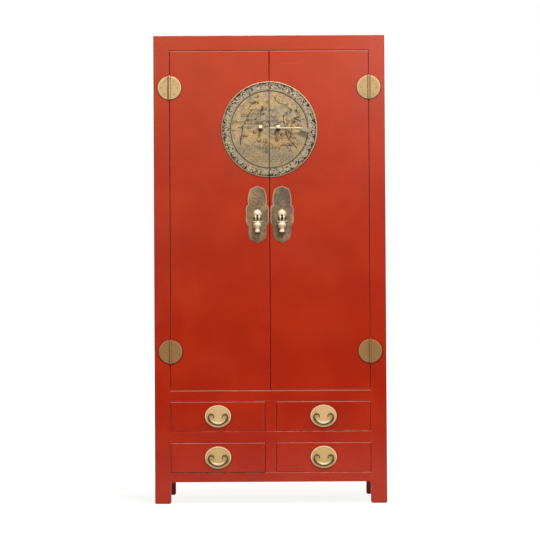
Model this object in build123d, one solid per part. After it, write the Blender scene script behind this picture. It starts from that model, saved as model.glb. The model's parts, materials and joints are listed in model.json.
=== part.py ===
from build123d import *
from math import cos, radians, sin
import os

# Chinese wedding cabinet: a mitred post-and-rail carcass with two tall flush doors,
# four drawers and brass fittings.
# Millimetres. +Z up, the front faces -Y, +X is to the viewer's right.
# The origin is on the floor, in the middle of the overall box, fittings included.

# ---------------------------------------------------------------- carcass
WIDTH = 940.0
DEPTH = 500.0
HEIGHT = 1900.0
POST_WIDTH = 64.0
POST_DEPTH = 48.0
TOP_RAIL = 61.0
DOOR_RAIL = 44.5
DRAWER_RAIL = 45.0
BOTTOM_RAIL = 39.0
LEG = 87.0
DRAWER_OPENING = 121.5
MUNTIN = 44.0
FRONT_RAIL_DEPTH = 40.0
BACK_RAIL_DEPTH = 30.0
SIDE_RAIL_WIDTH = 30.0
EDGE_ROUND = 2.2
FOOT_CHAMFER = 4.0
PAST = 1.0  # how far a cutting shape runs past the face that it opens

# joints of the carcass
TENON_LENGTH = 30.0
SIDE_TENON_LENGTH = 22.0
TENON_THICKNESS = 12.0
TENON_SHOULDER = 7.0
TENON_FIT = 0.2
MITRE_GAP = 0.08
MITRE_TENON_TOP = 18.0
MITRE_TENON_WIDE = 14.0
MITRE_TENON_NARROW = 11.0
MITRE_FRONT_TENON_AT = (0.84, 0.21)  # shares of the post's width and depth
MITRE_SIDE_TENON_AT = (0.38, 0.56)
MUNTIN_TENON_WIDTH = 20.0
MUNTIN_TENON_LENGTH = 12.0
MUNTIN_ROUND = 0.8

# floating panels
PANEL = 10.0
PANEL_RECESS = 8.0
TOP_PANEL_RECESS = 5.0
TONGUE = 8.0
TONGUE_THICKNESS = 6.0
TONGUE_FIT = 0.2
TONGUE_END_GAP = 0.5

# inside
FLOOR_BOARD = 12.0
SHELF_BOARD = 16.0
SHELF_HEIGHTS = (900.0, 1370.0)
BOARD_FIT = 0.3
BEARER_WIDTH = 22.0
BEARER_HEIGHT = 30.0

# ---------------------------------------------------------------- doors
DOOR_THICKNESS = 22.0
DOOR_GAP = 2.0
DOOR_MEETING_GAP = 2.5
DOOR_STILE = 60.0
DOOR_PANEL = 12.0
DOOR_TONGUE = 8.0
DOOR_STOP_GAP = 0.5
BATTEN_HEIGHT = 34.0
BATTEN_DEPTH = 9.0
BATTEN_COUNT = 4
DOOR_TENON_LENGTH = 42.0
DOOR_TENON_WIDTH = 22.0
DOOR_TENON_INSET = 10.0
DOOR_TENON_THICKNESS = 7.0

# ---------------------------------------------------------------- hinges
HINGE_RADIUS = 47.6
HINGE_FROM_TOP = 151.0
HINGE_FROM_BOTTOM = 157.0
LEAF = 1.6
BARREL_RADIUS = 4.6
PIN_RADIUS = 2.0
PIN_FIT = 0.05
KNUCKLES = 5
KNUCKLE_GAP = 0.3
PIN_HEAD_RADIUS = 3.4
PIN_HEAD = 1.8
PIN_HEAD_ROUND = 1.2
PIN_HEAD_GAP = 0.2
TAB_START = 1.2
TAB_LAP = 4.0
TAB_INSET = 2.0
NAIL_REACH = 33.0
NAIL_ANGLES = (-55.0, 0.0, 55.0)
NAIL_HEAD_RADIUS = 3.0
NAIL_HEAD = 1.3
NAIL_HEAD_ROUND = 1.0
NAIL_SHANK_RADIUS = 1.2
NAIL_DEPTH = 9.0
NAIL_FIT = 0.05

# ---------------------------------------------------------------- lock plate, eyes and bar
LOCK_RADIUS = 195.0
LOCK_CENTRE_FROM_TOP = 322.0
LOCK_PLATE = 1.4
LOCK_RIM = 4.0
LOCK_RIM_HEIGHT = 1.2
LOCK_INNER_RADIUS = 157.0
EYE_X = 35.5
EYE_RISE = 4.0
EYE_STANDOFF = 16.0
EYE_RADIUS = 12.0
EYE_THICKNESS = 13.0
EYE_NECK = 15.0
EYE_NECK_THICKNESS = 11.0
EYE_FOOT = 2.0
EYE_FOOT_ROUND = 1.2
EYE_HOLE = 8.0
EYE_HOLE_ROUND = 0.8
EYE_EDGE = 3.0
BAR_RADIUS = 2.8
BAR_TIP_ROUND = 1.7
BAR_SEAT = 0.5
BAR_LENGTH = 158.5
BAR_DRAWN_TIP = 1.6
LEAF_HEAD_LENGTH = 35.0
LEAF_HEAD_HEIGHT = 30.0
LEAF_HEAD_THICKNESS = 4.0
LEAF_STEM = 4.5
# upper and lower edge of the leaf, in shares of its length and height
LEAF_TIP = (0.96, -0.667)
LEAF_UPPER = ((0.36, 0.317), (0.69, 0.21), (0.92, -0.12), (1.0, -0.50), LEAF_TIP)
LEAF_LOWER = (LEAF_TIP, (0.80, -0.53), (0.58, -0.49), (0.28, -0.38))

# ---------------------------------------------------------------- door pulls
PULL_X = 50.0
PULL_PLATE_GAP = 34.5
PULL_PLATE_HEIGHT = 233.0
PULL_PLATE_WIDTH = 94.0
PULL_PLATE = 1.5
# half outline from the upper to the lower point, in shares of half the width and height
PULL_LOBES = (
    ((0.0, 1.0), (0.613, 0.893)),
    ((0.613, 0.893), (0.76, 0.70), (0.817, 0.43), (0.787, 0.343)),
    ((0.787, 0.343), (0.95, 0.27), (1.0, 0.155), (0.968, 0.017)),
    ((0.968, 0.017), (1.0, -0.137), (0.95, -0.30), (0.787, -0.412)),
    ((0.787, -0.412), (0.80, -0.515), (0.75, -0.738), (0.63, -0.867)),
    ((0.63, -0.867), (0.0, -1.0)),
)
PULL_PIVOT_DROP = 14.0
PULL_STANDOFF = 17.0
DOME_RADIUS = 18.0
DOME_CENTRE_RISE = 16.0
CHEEK_RADIUS = 10.5
CHEEK_THICKNESS = 5.0
CHEEK_ROUND = 1.5
SLOT_WIDTH = 8.8
SLOT_RISE = 11.0
SLOT_FLOOR = 2.0
PULL_PIN_RADIUS = 2.2
PENDANT_TONGUE = 4.4
PENDANT_TONGUE_RADIUS = 6.0
PENDANT_TONGUE_STEM = 4.8
PENDANT_WING_REACH = 20.5
PENDANT_WING_TOP = 12.6
PENDANT_WING_BOTTOM = 16.8
PENDANT_WING_RISE = 2.2
PENDANT_WING_DEPTH = 7.0
PENDANT_NECK_RADIUS = 6.5
PENDANT_VASE_RADIUS = 16.5
PENDANT_VASE_DROP = 28.0
PENDANT_WAIST_RADIUS = 8.5
PENDANT_WAIST_DROP = 46.0
PENDANT_FOOT_RADIUS = 11.8
PENDANT_FOOT_DROP = 56.0
PENDANT_FOOT_ROUND = 2.0
PENDANT_LENGTH = 59.0
PENDANT_BACK_GAP = 2.5

# ---------------------------------------------------------------- drawers
DRAWER_GAP = 1.5
DRAWER_FRONT = 20.0
DRAWER_SIDE = 10.0
DRAWER_SIDE_HEIGHT = 98.0
DRAWER_BACK = 10.0
DRAWER_BOTTOM = 6.0
DRAWER_BOTTOM_RISE = 8.0
DRAWER_BOTTOM_GROOVE = 5.0
DRAWER_BACK_GAP = 42.0
DRAWER_PROUD = 4.0
TAIL_COUNT = 3
TAIL_DEPTH = 13.0
TAIL_END = 22.0
TAIL_ROOT = 17.0
RUNNER = 12.0
RUNNER_REACH = 30.0
GUIDE_WIDTH = 24.0
GUIDE_HEIGHT = 25.0
RUNNING_GAP = 0.3

# ---------------------------------------------------------------- drawer pulls
OVAL_WIDTH = 106.0
OVAL_HEIGHT = 89.5
OVAL_PLATE = 1.5
BAIL_PIVOT_X = 29.2
BAIL_PIVOT_RISE = 8.0
BAIL_STANDOFF = 7.5
BAIL_HALF_WIDTH = 42.2
BAIL_DROP = 45.0
BAIL_BOTTOM_WIDTH = 13.5
BAIL_ARM_WIDTH = 6.8
BAIL_END_HEIGHT = 4.8
BAIL_THICKNESS = 5.0
BAIL_CHAMFER = 1.4
# outer and inner edge from arm to bottom: shares of the half width or of the arm's inner
# reach, and shares of the drop at the outer or inner edge
BAIL_OUTER = ((0.968, -0.15), (1.0, -0.345), (0.92, -0.57), (0.686, -0.776), (0.386, -0.925))
BAIL_INNER = ((0.985, -0.18), (1.0, -0.40), (0.92, -0.62), (0.70, -0.81), (0.386, -0.95))
BAIL_TRUNNION_RADIUS = 2.0
LUG_THICKNESS = 5.0
LUG_RADIUS = 5.0
LUG_STEM = 3.5
LUG_FOOT_RADIUS = 6.0
LUG_GAP = 1.5
TRUNNION_FIT = 0.05
HOOK_REACH = 9.2
HOOK_DROP = 16.5
# upper and lower edge of the hooked end, in shares of its reach and drop
HOOK_TIP = (0.90, -1.0)
HOOK_UPPER = ((0.54, 0.05), (1.0, -0.36), HOOK_TIP)
HOOK_LOWER = (HOOK_TIP, (0.64, -0.50), (0.38, -0.27))

# ---------------------------------------------------------------- derived places
FRONT_REACH = max(
    PULL_STANDOFF + PENDANT_VASE_RADIUS,
    PULL_STANDOFF + CHEEK_RADIUS,
    PULL_PLATE + DOME_RADIUS,
    EYE_STANDOFF + EYE_RADIUS,
    DRAWER_PROUD + BAIL_STANDOFF + LUG_RADIUS,
)
FRONT = -DEPTH / 2 + FRONT_REACH / 2
BACK = FRONT + DEPTH
MIDDLE_Y = (FRONT + BACK) / 2
SIDE_X = WIDTH / 2
OPENING_X = SIDE_X - POST_WIDTH

BOTTOM_RAIL_TOP = LEG + BOTTOM_RAIL
DRAWER_RAIL_BASE = BOTTOM_RAIL_TOP + DRAWER_OPENING
DRAWER_RAIL_TOP = DRAWER_RAIL_BASE + DRAWER_RAIL
DOOR_RAIL_BASE = DRAWER_RAIL_TOP + DRAWER_OPENING
DOOR_BASE = DOOR_RAIL_BASE + DOOR_RAIL
DOOR_TOP = HEIGHT - TOP_RAIL

RAIL_LEVELS = (
    (LEG, BOTTOM_RAIL_TOP),
    (DRAWER_RAIL_BASE, DRAWER_RAIL_TOP),
    (DOOR_RAIL_BASE, DOOR_BASE),
)
SIDE_RAIL_LEVELS = (RAIL_LEVELS[0], RAIL_LEVELS[2])
DRAWER_LEVELS = (BOTTOM_RAIL_TOP, DRAWER_RAIL_TOP)

PANEL_OUT_X = SIDE_X - PANEL_RECESS
PANEL_IN_X = PANEL_OUT_X - PANEL
PANEL_OUT_Y = BACK - PANEL_RECESS
PANEL_IN_Y = PANEL_OUT_Y - PANEL

HINGE_X = OPENING_X - DOOR_GAP / 2
HINGE_Y = FRONT - BARREL_RADIUS - 0.1
HINGE_HEIGHTS = (DOOR_TOP - HINGE_FROM_TOP, DOOR_BASE + HINGE_FROM_BOTTOM)
LOCK_Z = DOOR_TOP - LOCK_CENTRE_FROM_TOP
PULL_PLATE_CENTRE = LOCK_Z - LOCK_RADIUS - PULL_PLATE_GAP - PULL_PLATE_HEIGHT / 2
PULL_PIVOT = PULL_PLATE_CENTRE - PULL_PIVOT_DROP
DRAWER_LENGTH = PANEL_IN_Y - FRONT - DRAWER_BACK_GAP
EYE_Z = LOCK_Z + EYE_RISE
BAR_Z = EYE_Z - EYE_HOLE / 2 + BAR_RADIUS + BAR_SEAT

MIRROR_X = Plane.YZ
MIRROR_Y = Plane.XZ.offset(-MIDDLE_Y)


# ---------------------------------------------------------------- helpers
def block(x0, x1, y0, y1, z0, z1):
    """A box between two corners."""
    centre = Pos((x0 + x1) / 2, (y0 + y1) / 2, (z0 + z1) / 2)
    return centre * Box(abs(x1 - x0), abs(y1 - y0), abs(z1 - z0))


def rounded_block(x0, x1, y0, y1, z0, z1, radius=EDGE_ROUND):
    """A box whose front edges are rounded as a planed and lacquered edge is."""
    solid = block(x0, x1, y0, y1, z0, z1)
    front_edges = solid.faces().sort_by(Axis.Y)[0].edges()
    return fillet(front_edges, radius)


def front_prism(points, y0, y1):
    """Outline in X and Z, carried from y0 to y1."""
    outline = Plane.XZ.offset(-y1) * make_face(Polyline(*points, close=True))
    return extrude(outline, y1 - y0)


def side_prism(points, x0, x1):
    """Outline in Y and Z, carried from x0 to x1."""
    outline = Plane.YZ.offset(x0) * make_face(Polyline(*points, close=True))
    return extrude(outline, x1 - x0)


def plan_prism(points, z0, z1):
    """Outline in X and Y, carried from z0 to z1."""
    outline = Plane.XY.offset(z0) * make_face(Polyline(*points, close=True))
    return extrude(outline, z1 - z0)


def rod(start, direction, radius, length):
    """A round rod from a point along a direction."""
    return Plane(origin=start, z_dir=direction) * Cylinder(
        radius, length, align=(Align.CENTER, Align.CENTER, Align.MIN)
    )


def flipped(shape):
    """The same piece for the other side of the cabinet."""
    return mirror(shape, about=MIRROR_X)


def smooth_line(points):
    """A straight line through two points, or a smooth curve through more."""
    return Line(*points) if len(points) == 2 else Spline(*points)


def write(node, *shapes):
    """One STEP file for a node, holding its separate solids."""
    solids = [solid for shape in shapes for solid in shape.solids()]
    whole = solids[0] if len(solids) == 1 else Compound(children=solids)
    export_step(whole, os.path.join("parts", node + ".step"))


# ---------------------------------------------------------------- joints of the carcass
def rail_tenons(z0, z1, y_centre, grow=0.0):
    """The two tenons of a rail across the front or back, or their mortises when grown."""
    half = TENON_THICKNESS / 2 + grow
    end = OPENING_X + TENON_LENGTH + (PAST if grow else 0.0)
    right = block(
        OPENING_X - (0.0 if grow else PAST), end, y_centre - half, y_centre + half,
        z0 + TENON_SHOULDER - grow, z1 - TENON_SHOULDER + grow,
    )
    return right, flipped(right)


def side_rail_tenons(z0, z1, grow=0.0):
    """The two tenons of the right-hand side rail, or their mortises when grown."""
    centre = SIDE_X - SIDE_RAIL_WIDTH / 2
    half = TENON_THICKNESS / 2 + grow
    start = FRONT + POST_DEPTH + (0.0 if grow else PAST)
    end = FRONT + POST_DEPTH - SIDE_TENON_LENGTH - (PAST if grow else 0.0)
    front = block(
        centre - half, centre + half, end, start,
        z0 + TENON_SHOULDER - grow, z1 - TENON_SHOULDER + grow,
    )
    return front, mirror(front, about=MIRROR_Y)


def mitre_tenons(grow=0.0):
    """Stub tenons on top of the right front post, one for each of its two rails."""
    low = HEIGHT - TOP_RAIL
    high = HEIGHT - MITRE_TENON_TOP + grow
    pieces = []
    for (across, back), wide, deep in (
        (MITRE_FRONT_TENON_AT, MITRE_TENON_WIDE, MITRE_TENON_NARROW),
        (MITRE_SIDE_TENON_AT, MITRE_TENON_NARROW, MITRE_TENON_NARROW),
    ):
        x0, y0 = SIDE_X - across * POST_WIDTH, FRONT + back * POST_DEPTH
        pieces.append(
            block(x0 - grow, x0 + wide + grow, y0 - grow, y0 + deep + grow, low, high)
        )
    return pieces


def muntin_tenon(z0, grow=0.0):
    """The stub tenons above and below a muntin as one block, or their mortises when grown."""
    middle_y = FRONT + FRONT_RAIL_DEPTH / 2
    wide = MUNTIN_TENON_WIDTH / 2 + grow
    deep = TENON_THICKNESS / 2 + grow
    reach = MUNTIN_TENON_LENGTH + grow
    return block(
        -wide, wide, middle_y - deep, middle_y + deep, z0 - reach, z0 + DRAWER_OPENING + reach
    )


def groove(panel_box, thin_axis):
    """The tongue of a floating panel and the groove that holds it."""
    x0, x1, y0, y1, z0, z1 = panel_box
    thin = (PANEL - TONGUE_THICKNESS) / 2
    shrink = {axis: thin if axis == thin_axis else -TONGUE for axis in "xyz"}
    sides = (
        x0 + shrink["x"], x1 - shrink["x"],
        y0 + shrink["y"], y1 - shrink["y"],
        z0 + shrink["z"], z1 - shrink["z"],
    )
    tongue_sides = []
    groove_sides = []
    for index, value in enumerate(sides):
        outward = 1 if index % 2 else -1
        along = "xyz"[index // 2]
        tongue_sides.append(value if along == thin_axis else value - outward * TONGUE_END_GAP)
        groove_sides.append(value + outward * TONGUE_FIT)
    return block(*tongue_sides), block(*groove_sides)


# ---------------------------------------------------------------- panels of the carcass
RIGHT_PANEL_BOXES = [
    (PANEL_IN_X, PANEL_OUT_X, FRONT + POST_DEPTH, BACK - POST_DEPTH, z0, z1)
    for z0, z1 in ((DOOR_BASE, DOOR_TOP), (BOTTOM_RAIL_TOP, DOOR_RAIL_BASE))
]
BACK_PANEL_BOXES = [
    (-OPENING_X, OPENING_X, PANEL_IN_Y, PANEL_OUT_Y, z0, z1)
    for z0, z1 in (
        (DOOR_BASE, DOOR_TOP),
        (DRAWER_RAIL_TOP, DOOR_RAIL_BASE),
        (BOTTOM_RAIL_TOP, DRAWER_RAIL_BASE),
    )
]
TOP_PANEL_BOX = (
    -OPENING_X, OPENING_X, FRONT + POST_DEPTH, BACK - POST_DEPTH,
    HEIGHT - TOP_PANEL_RECESS - PANEL, HEIGHT - TOP_PANEL_RECESS,
)


def floating_panel(panel_box, thin_axis):
    tongue, _ = groove(panel_box, thin_axis)
    return block(*panel_box) + tongue


def grooves_right():
    return [groove(box, "x")[1] for box in RIGHT_PANEL_BOXES]


def grooves_back():
    return [groove(box, "y")[1] for box in BACK_PANEL_BOXES]


def groove_top():
    return groove(TOP_PANEL_BOX, "z")[1]


# ---------------------------------------------------------------- hinge nails
def nail_places(on_door):
    """Where the nails of the right-hand hinge leaves go, on the doors' or the posts' face."""
    side = -1 if on_door else 1
    return [
        (HINGE_X + side * NAIL_REACH * cos(radians(angle)), z + NAIL_REACH * sin(radians(angle)))
        for z in HINGE_HEIGHTS for angle in NAIL_ANGLES
    ]


def nail_shanks(on_door, grow=0.0):
    """The nails' shanks, or their holes in leaf and wood when grown."""
    start = FRONT - LEAF - (PAST if grow else 0.0)
    end = FRONT + NAIL_DEPTH + grow
    return [
        rod((x, start, z), (0, 1, 0), NAIL_SHANK_RADIUS + grow, end - start)
        for x, z in nail_places(on_door)
    ]


def hinge_nails(on_door):
    """Button-headed nails that hold the right-hand leaves."""
    nails = []
    for (x, z), shank in zip(nail_places(on_door), nail_shanks(on_door)):
        head = rod((x, FRONT - LEAF, z), (0, -1, 0), NAIL_HEAD_RADIUS, NAIL_HEAD)
        head = fillet(head.faces().sort_by(Axis.Y)[0].edges(), NAIL_HEAD_ROUND)
        nails.append(head + shank)
    return nails


# ---------------------------------------------------------------- posts and rails
def post_right(front):
    """Right front or back post, with its three-way mitre at the top."""
    inner = OPENING_X
    outline_front = [
        (SIDE_X, 0), (SIDE_X, HEIGHT), (inner, HEIGHT - TOP_RAIL), (inner, 0),
    ]
    outline_side = [
        (FRONT, 0), (FRONT, HEIGHT),
        (FRONT + POST_DEPTH, HEIGHT - TOP_RAIL), (FRONT + POST_DEPTH, 0),
    ]
    post = front_prism(outline_front, FRONT, FRONT + POST_DEPTH)
    post = post & side_prism(outline_side, inner, SIDE_X)
    post = chamfer(post.faces().sort_by(Axis.Z)[0].edges(), FOOT_CHAMFER)
    corners = post.edges().filter_by(Axis.Z).sort_by(Axis.X)[-2:]
    post = fillet(corners, EDGE_ROUND)
    for tenon in mitre_tenons():
        post += tenon
    if not front:
        post = mirror(post, about=MIRROR_Y)
    centre = rail_centre(front)
    for z0, z1 in RAIL_LEVELS:
        post -= rail_tenons(z0, z1, centre, TENON_FIT)[0]
    for z0, z1 in SIDE_RAIL_LEVELS:
        post -= side_rail_tenons(z0, z1, TENON_FIT)[0 if front else 1]
    for cut in grooves_right() + (nail_shanks(False, NAIL_FIT) if front else grooves_back()):
        post -= cut
    return post


def rail_centre(front):
    """Middle of a cross rail's depth."""
    return FRONT + FRONT_RAIL_DEPTH / 2 if front else BACK - BACK_RAIL_DEPTH / 2


def cross_rail(z0, z1, front):
    """A rail across the front or back, with a tenon at each end."""
    if front:
        rail = block(-OPENING_X, OPENING_X, FRONT, FRONT + FRONT_RAIL_DEPTH, z0, z1)
        long_edges = rail.faces().sort_by(Axis.Y)[0].edges().filter_by(Axis.X)
        rail = fillet(long_edges, EDGE_ROUND)
        for level in DRAWER_LEVELS:
            rail -= muntin_tenon(level, TENON_FIT)
    else:
        rail = block(-OPENING_X, OPENING_X, BACK - BACK_RAIL_DEPTH, BACK, z0, z1)
    for tenon in rail_tenons(z0, z1, rail_centre(front)):
        rail += tenon
    if not front:
        for cut in grooves_back():
            rail -= cut
    return rail


def top_cross_rail(front):
    """Top rail across the front or back: mitred in elevation and in plan."""
    end = SIDE_X - MITRE_GAP
    inner = OPENING_X - MITRE_GAP
    elevation = [
        (-end, HEIGHT), (end, HEIGHT), (inner, HEIGHT - TOP_RAIL), (-inner, HEIGHT - TOP_RAIL),
    ]
    plan = [
        (-end, FRONT), (end, FRONT), (inner, FRONT + POST_DEPTH), (-inner, FRONT + POST_DEPTH),
    ]
    rail = front_prism(elevation, FRONT, FRONT + POST_DEPTH)
    rail = rail & plan_prism(plan, HEIGHT - TOP_RAIL, HEIGHT)
    front_edges = rail.faces().sort_by(Axis.Y)[0].edges().filter_by(Axis.X)
    rail = fillet(front_edges, EDGE_ROUND)
    for mortise in mitre_tenons(TENON_FIT):
        rail -= mortise
        rail -= flipped(mortise)
    rail -= groove_top()
    if not front:
        rail = mirror(rail, about=MIRROR_Y)
        rail -= grooves_back()[0]
    return rail


def top_side_rail():
    """Right top rail: mitred in side view and in plan."""
    start = FRONT + MITRE_GAP
    inner = FRONT + POST_DEPTH + MITRE_GAP
    far = BACK - MITRE_GAP
    far_inner = BACK - POST_DEPTH - MITRE_GAP
    side = [
        (start, HEIGHT), (far, HEIGHT), (far_inner, HEIGHT - TOP_RAIL), (inner, HEIGHT - TOP_RAIL),
    ]
    plan = [(SIDE_X, start), (SIDE_X, far), (OPENING_X, far_inner), (OPENING_X, inner)]
    rail = side_prism(side, OPENING_X, SIDE_X) & plan_prism(plan, HEIGHT - TOP_RAIL, HEIGHT)
    outer_edges = rail.faces().sort_by(Axis.X)[-1].edges().filter_by(Axis.Y)
    rail = fillet(outer_edges, EDGE_ROUND)
    for mortise in mitre_tenons(TENON_FIT):
        rail -= mortise
        rail -= mirror(mortise, about=MIRROR_Y)
    rail -= groove_top()
    rail -= grooves_right()[0]
    return rail


def side_rail_right(z0, z1):
    rail = block(SIDE_X - SIDE_RAIL_WIDTH, SIDE_X, FRONT + POST_DEPTH, BACK - POST_DEPTH, z0, z1)
    for tenon in side_rail_tenons(z0, z1):
        rail += tenon
    for cut in grooves_right():
        rail -= cut
    return rail


def muntin(z0):
    """The upright between two drawers, stub-tenoned into the rails above and below."""
    upright = rounded_block(
        -MUNTIN / 2, MUNTIN / 2, FRONT, FRONT + FRONT_RAIL_DEPTH, z0, z0 + DRAWER_OPENING,
        MUNTIN_ROUND,
    )
    return upright + muntin_tenon(z0)


# ---------------------------------------------------------------- inside boards
def notched_board(z0, thickness):
    """A board that fills the carcass behind the doors, notched round the four posts."""
    front_edge = FRONT + DOOR_THICKNESS + DOOR_STOP_GAP
    side = PANEL_IN_X - BOARD_FIT
    neck = OPENING_X - BOARD_FIT
    shoulder = FRONT + POST_DEPTH + BOARD_FIT
    far_shoulder = BACK - POST_DEPTH - BOARD_FIT
    rear = PANEL_IN_Y - BOARD_FIT
    right = [
        (neck, front_edge), (neck, shoulder), (side, shoulder),
        (side, far_shoulder), (neck, far_shoulder), (neck, rear),
    ]
    left = [(-x, y) for x, y in reversed(right)]
    return plan_prism(right + left, z0, z0 + thickness)


def shelf_bearer_right(shelf_z):
    return block(
        PANEL_IN_X - BEARER_WIDTH, PANEL_IN_X, FRONT + POST_DEPTH, BACK - POST_DEPTH,
        shelf_z - BEARER_HEIGHT, shelf_z,
    )


def outer_runner(level):
    """Right outer runner: a notched board under the drawer side, and a guide strip on it."""
    out = OPENING_X + GUIDE_WIDTH
    reach = OPENING_X - RUNNER_REACH
    post_back = FRONT + POST_DEPTH
    post_front = BACK - POST_DEPTH
    rail_back = FRONT + FRONT_RAIL_DEPTH
    rail_front = BACK - BACK_RAIL_DEPTH
    base = plan_prism(
        [
            (out, post_back), (OPENING_X, post_back), (OPENING_X, rail_back),
            (reach, rail_back), (reach, rail_front),
            (OPENING_X, rail_front), (OPENING_X, post_front), (out, post_front),
        ],
        level - RUNNER, level,
    )
    guide = block(OPENING_X, out, post_back, post_front, level, level + GUIDE_HEIGHT)
    return [base, guide]


def centre_runner(level):
    """Centre runner: it carries a side of both drawers, with a guide strip between them."""
    rail_back = FRONT + FRONT_RAIL_DEPTH
    rail_front = BACK - BACK_RAIL_DEPTH
    half = MUNTIN / 2
    reach = half + RUNNER_REACH
    base = block(-reach, reach, rail_back, rail_front, level - RUNNER, level)
    guide = block(-half, half, rail_back, rail_front, level, level + GUIDE_HEIGHT)
    return [base, guide]


def build_carcass():
    for name, shape in (
        ("post_front", post_right(True)),
        ("post_back", post_right(False)),
        ("side_panels", Compound(children=[floating_panel(b, "x") for b in RIGHT_PANEL_BOXES])),
        ("side_rails", Compound(children=[side_rail_right(*z) for z in SIDE_RAIL_LEVELS])),
    ):
        write(name + "_right", shape)
        write(name + "_left", flipped(shape))
    side_top = top_side_rail()
    write("top_rails_side", side_top, flipped(side_top))
    write("top_rail_front", top_cross_rail(True))
    write("top_rail_back", top_cross_rail(False))
    write("top_panel", floating_panel(TOP_PANEL_BOX, "z"))
    for name, level in zip(("rail_bottom", "rail_between_drawers", "rail_under_doors"), RAIL_LEVELS):
        write(name, cross_rail(*level, True))
    write("back_rails", *[cross_rail(*level, False) for level in RAIL_LEVELS])
    write("muntins", *[muntin(level) for level in DRAWER_LEVELS])
    write("back_panels", *[floating_panel(box, "y") for box in BACK_PANEL_BOXES])
    write("floor_panel", notched_board(DOOR_BASE, FLOOR_BOARD))
    write("shelves", *[notched_board(z, SHELF_BOARD) for z in SHELF_HEIGHTS])
    bearers = [shelf_bearer_right(z) for z in SHELF_HEIGHTS]
    write("shelf_bearers", *bearers, *[flipped(bearer) for bearer in bearers])
    runners = []
    for level in DRAWER_LEVELS:
        outer = outer_runner(level)
        runners += outer + [flipped(piece) for piece in outer] + centre_runner(level)
    write("drawer_runners", *runners)


# ---------------------------------------------------------------- doors
DOOR_OUT_X = OPENING_X - DOOR_GAP
DOOR_IN_X = DOOR_MEETING_GAP / 2
DOOR_Z0 = DOOR_BASE + DOOR_GAP
DOOR_Z1 = DOOR_TOP - DOOR_GAP
DOOR_BACK = FRONT + DOOR_THICKNESS


def door_members():
    """The four mitred members of the right door's frame."""
    x0, x1, z0, z1 = DOOR_IN_X, DOOR_OUT_X, DOOR_Z0, DOOR_Z1
    s = DOOR_STILE
    outlines = (
        [(x0, z0), (x0 + s, z0 + s), (x0 + s, z1 - s), (x0, z1)],
        [(x1, z0), (x1, z1), (x1 - s, z1 - s), (x1 - s, z0 + s)],
        [(x0, z1), (x0 + s, z1 - s), (x1 - s, z1 - s), (x1, z1)],
        [(x0, z0), (x1, z0), (x1 - s, z0 + s), (x0 + s, z0 + s)],
    )
    panel_groove = door_tongue(TONGUE_FIT)
    members = []
    outward = (Axis.X, Axis.X, Axis.Z, Axis.Z)
    ends = (0, -1, -1, 0)
    for outline, axis, end in zip(outlines, outward, ends):
        member = front_prism(outline, FRONT, DOOR_BACK)
        if axis == Axis.X:
            for mortise in door_tenons(TENON_FIT):
                member -= mortise
        else:
            for tenon in door_tenons()[:2] if end else door_tenons()[2:]:
                member += tenon
        outer_face = member.faces().sort_by(axis)[end]
        front_edge = outer_face.edges().sort_by(Axis.Y)[0]
        member = fillet(front_edge, EDGE_ROUND)
        for cut in batten_blocks(TENON_FIT) + nail_shanks(True, NAIL_FIT):
            member -= cut
        members.append(member - panel_groove)
    return members


def door_tenons(grow=0.0):
    """Stub tenons of the right door's top and bottom members, two and two, or their mortises."""
    middle_y = FRONT + DOOR_THICKNESS / 2
    half = DOOR_TENON_THICKNESS / 2 + grow
    blocks = []
    for z, inward in ((DOOR_Z1, -1), (DOOR_Z0, 1)):
        near = z + inward * (DOOR_STILE - DOOR_TENON_INSET + grow)
        far = z + inward * (DOOR_STILE - DOOR_TENON_INSET - DOOR_TENON_WIDTH - grow)
        for x, side in ((DOOR_IN_X, 1), (DOOR_OUT_X, -1)):
            tip = x + side * (DOOR_STILE - DOOR_TENON_LENGTH - grow)
            blocks.append(block(
                min(tip, x + side * DOOR_STILE), max(tip, x + side * DOOR_STILE),
                middle_y - half, middle_y + half, min(near, far), max(near, far),
            ))
    return blocks


def door_tongue(grow=0.0):
    """Tongue round the right door's flush panel, or its groove when grown."""
    reach = DOOR_STILE - DOOR_TONGUE + (0.0 if grow else TONGUE_END_GAP)
    middle = FRONT + DOOR_PANEL / 2
    half = TONGUE_THICKNESS / 2 + grow
    return block(
        DOOR_IN_X + reach, DOOR_OUT_X - reach, middle - half, middle + half,
        DOOR_Z0 + reach, DOOR_Z1 - reach,
    )


def door_panel():
    face = block(
        DOOR_IN_X + DOOR_STILE, DOOR_OUT_X - DOOR_STILE, FRONT, FRONT + DOOR_PANEL,
        DOOR_Z0 + DOOR_STILE, DOOR_Z1 - DOOR_STILE,
    )
    return face + door_tongue()


def batten_blocks(grow=0.0):
    """Battens behind the right door's panel, with their ends let into the stiles."""
    reach = DOOR_STILE - DOOR_TONGUE - grow
    pitch = (DOOR_Z1 - DOOR_Z0) / (BATTEN_COUNT + 1)
    blocks = []
    for number in range(1, BATTEN_COUNT + 1):
        middle = DOOR_Z0 + number * pitch
        half = BATTEN_HEIGHT / 2 + grow
        blocks.append(block(
            DOOR_IN_X + reach, DOOR_OUT_X - reach,
            FRONT + DOOR_PANEL, FRONT + DOOR_PANEL + BATTEN_DEPTH + grow,
            middle - half, middle + half,
        ))
    return blocks


# ---------------------------------------------------------------- hinges
def knuckle_spans(z, on_door):
    """Heights of the knuckles that belong to the door leaf or to the post leaf."""
    pitch = 2 * HINGE_RADIUS / KNUCKLES
    start = z - HINGE_RADIUS
    return [
        (start + n * pitch + KNUCKLE_GAP / 2, start + (n + 1) * pitch - KNUCKLE_GAP / 2)
        for n in range(KNUCKLES) if (n % 2 == 1) == on_door
    ]


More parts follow.
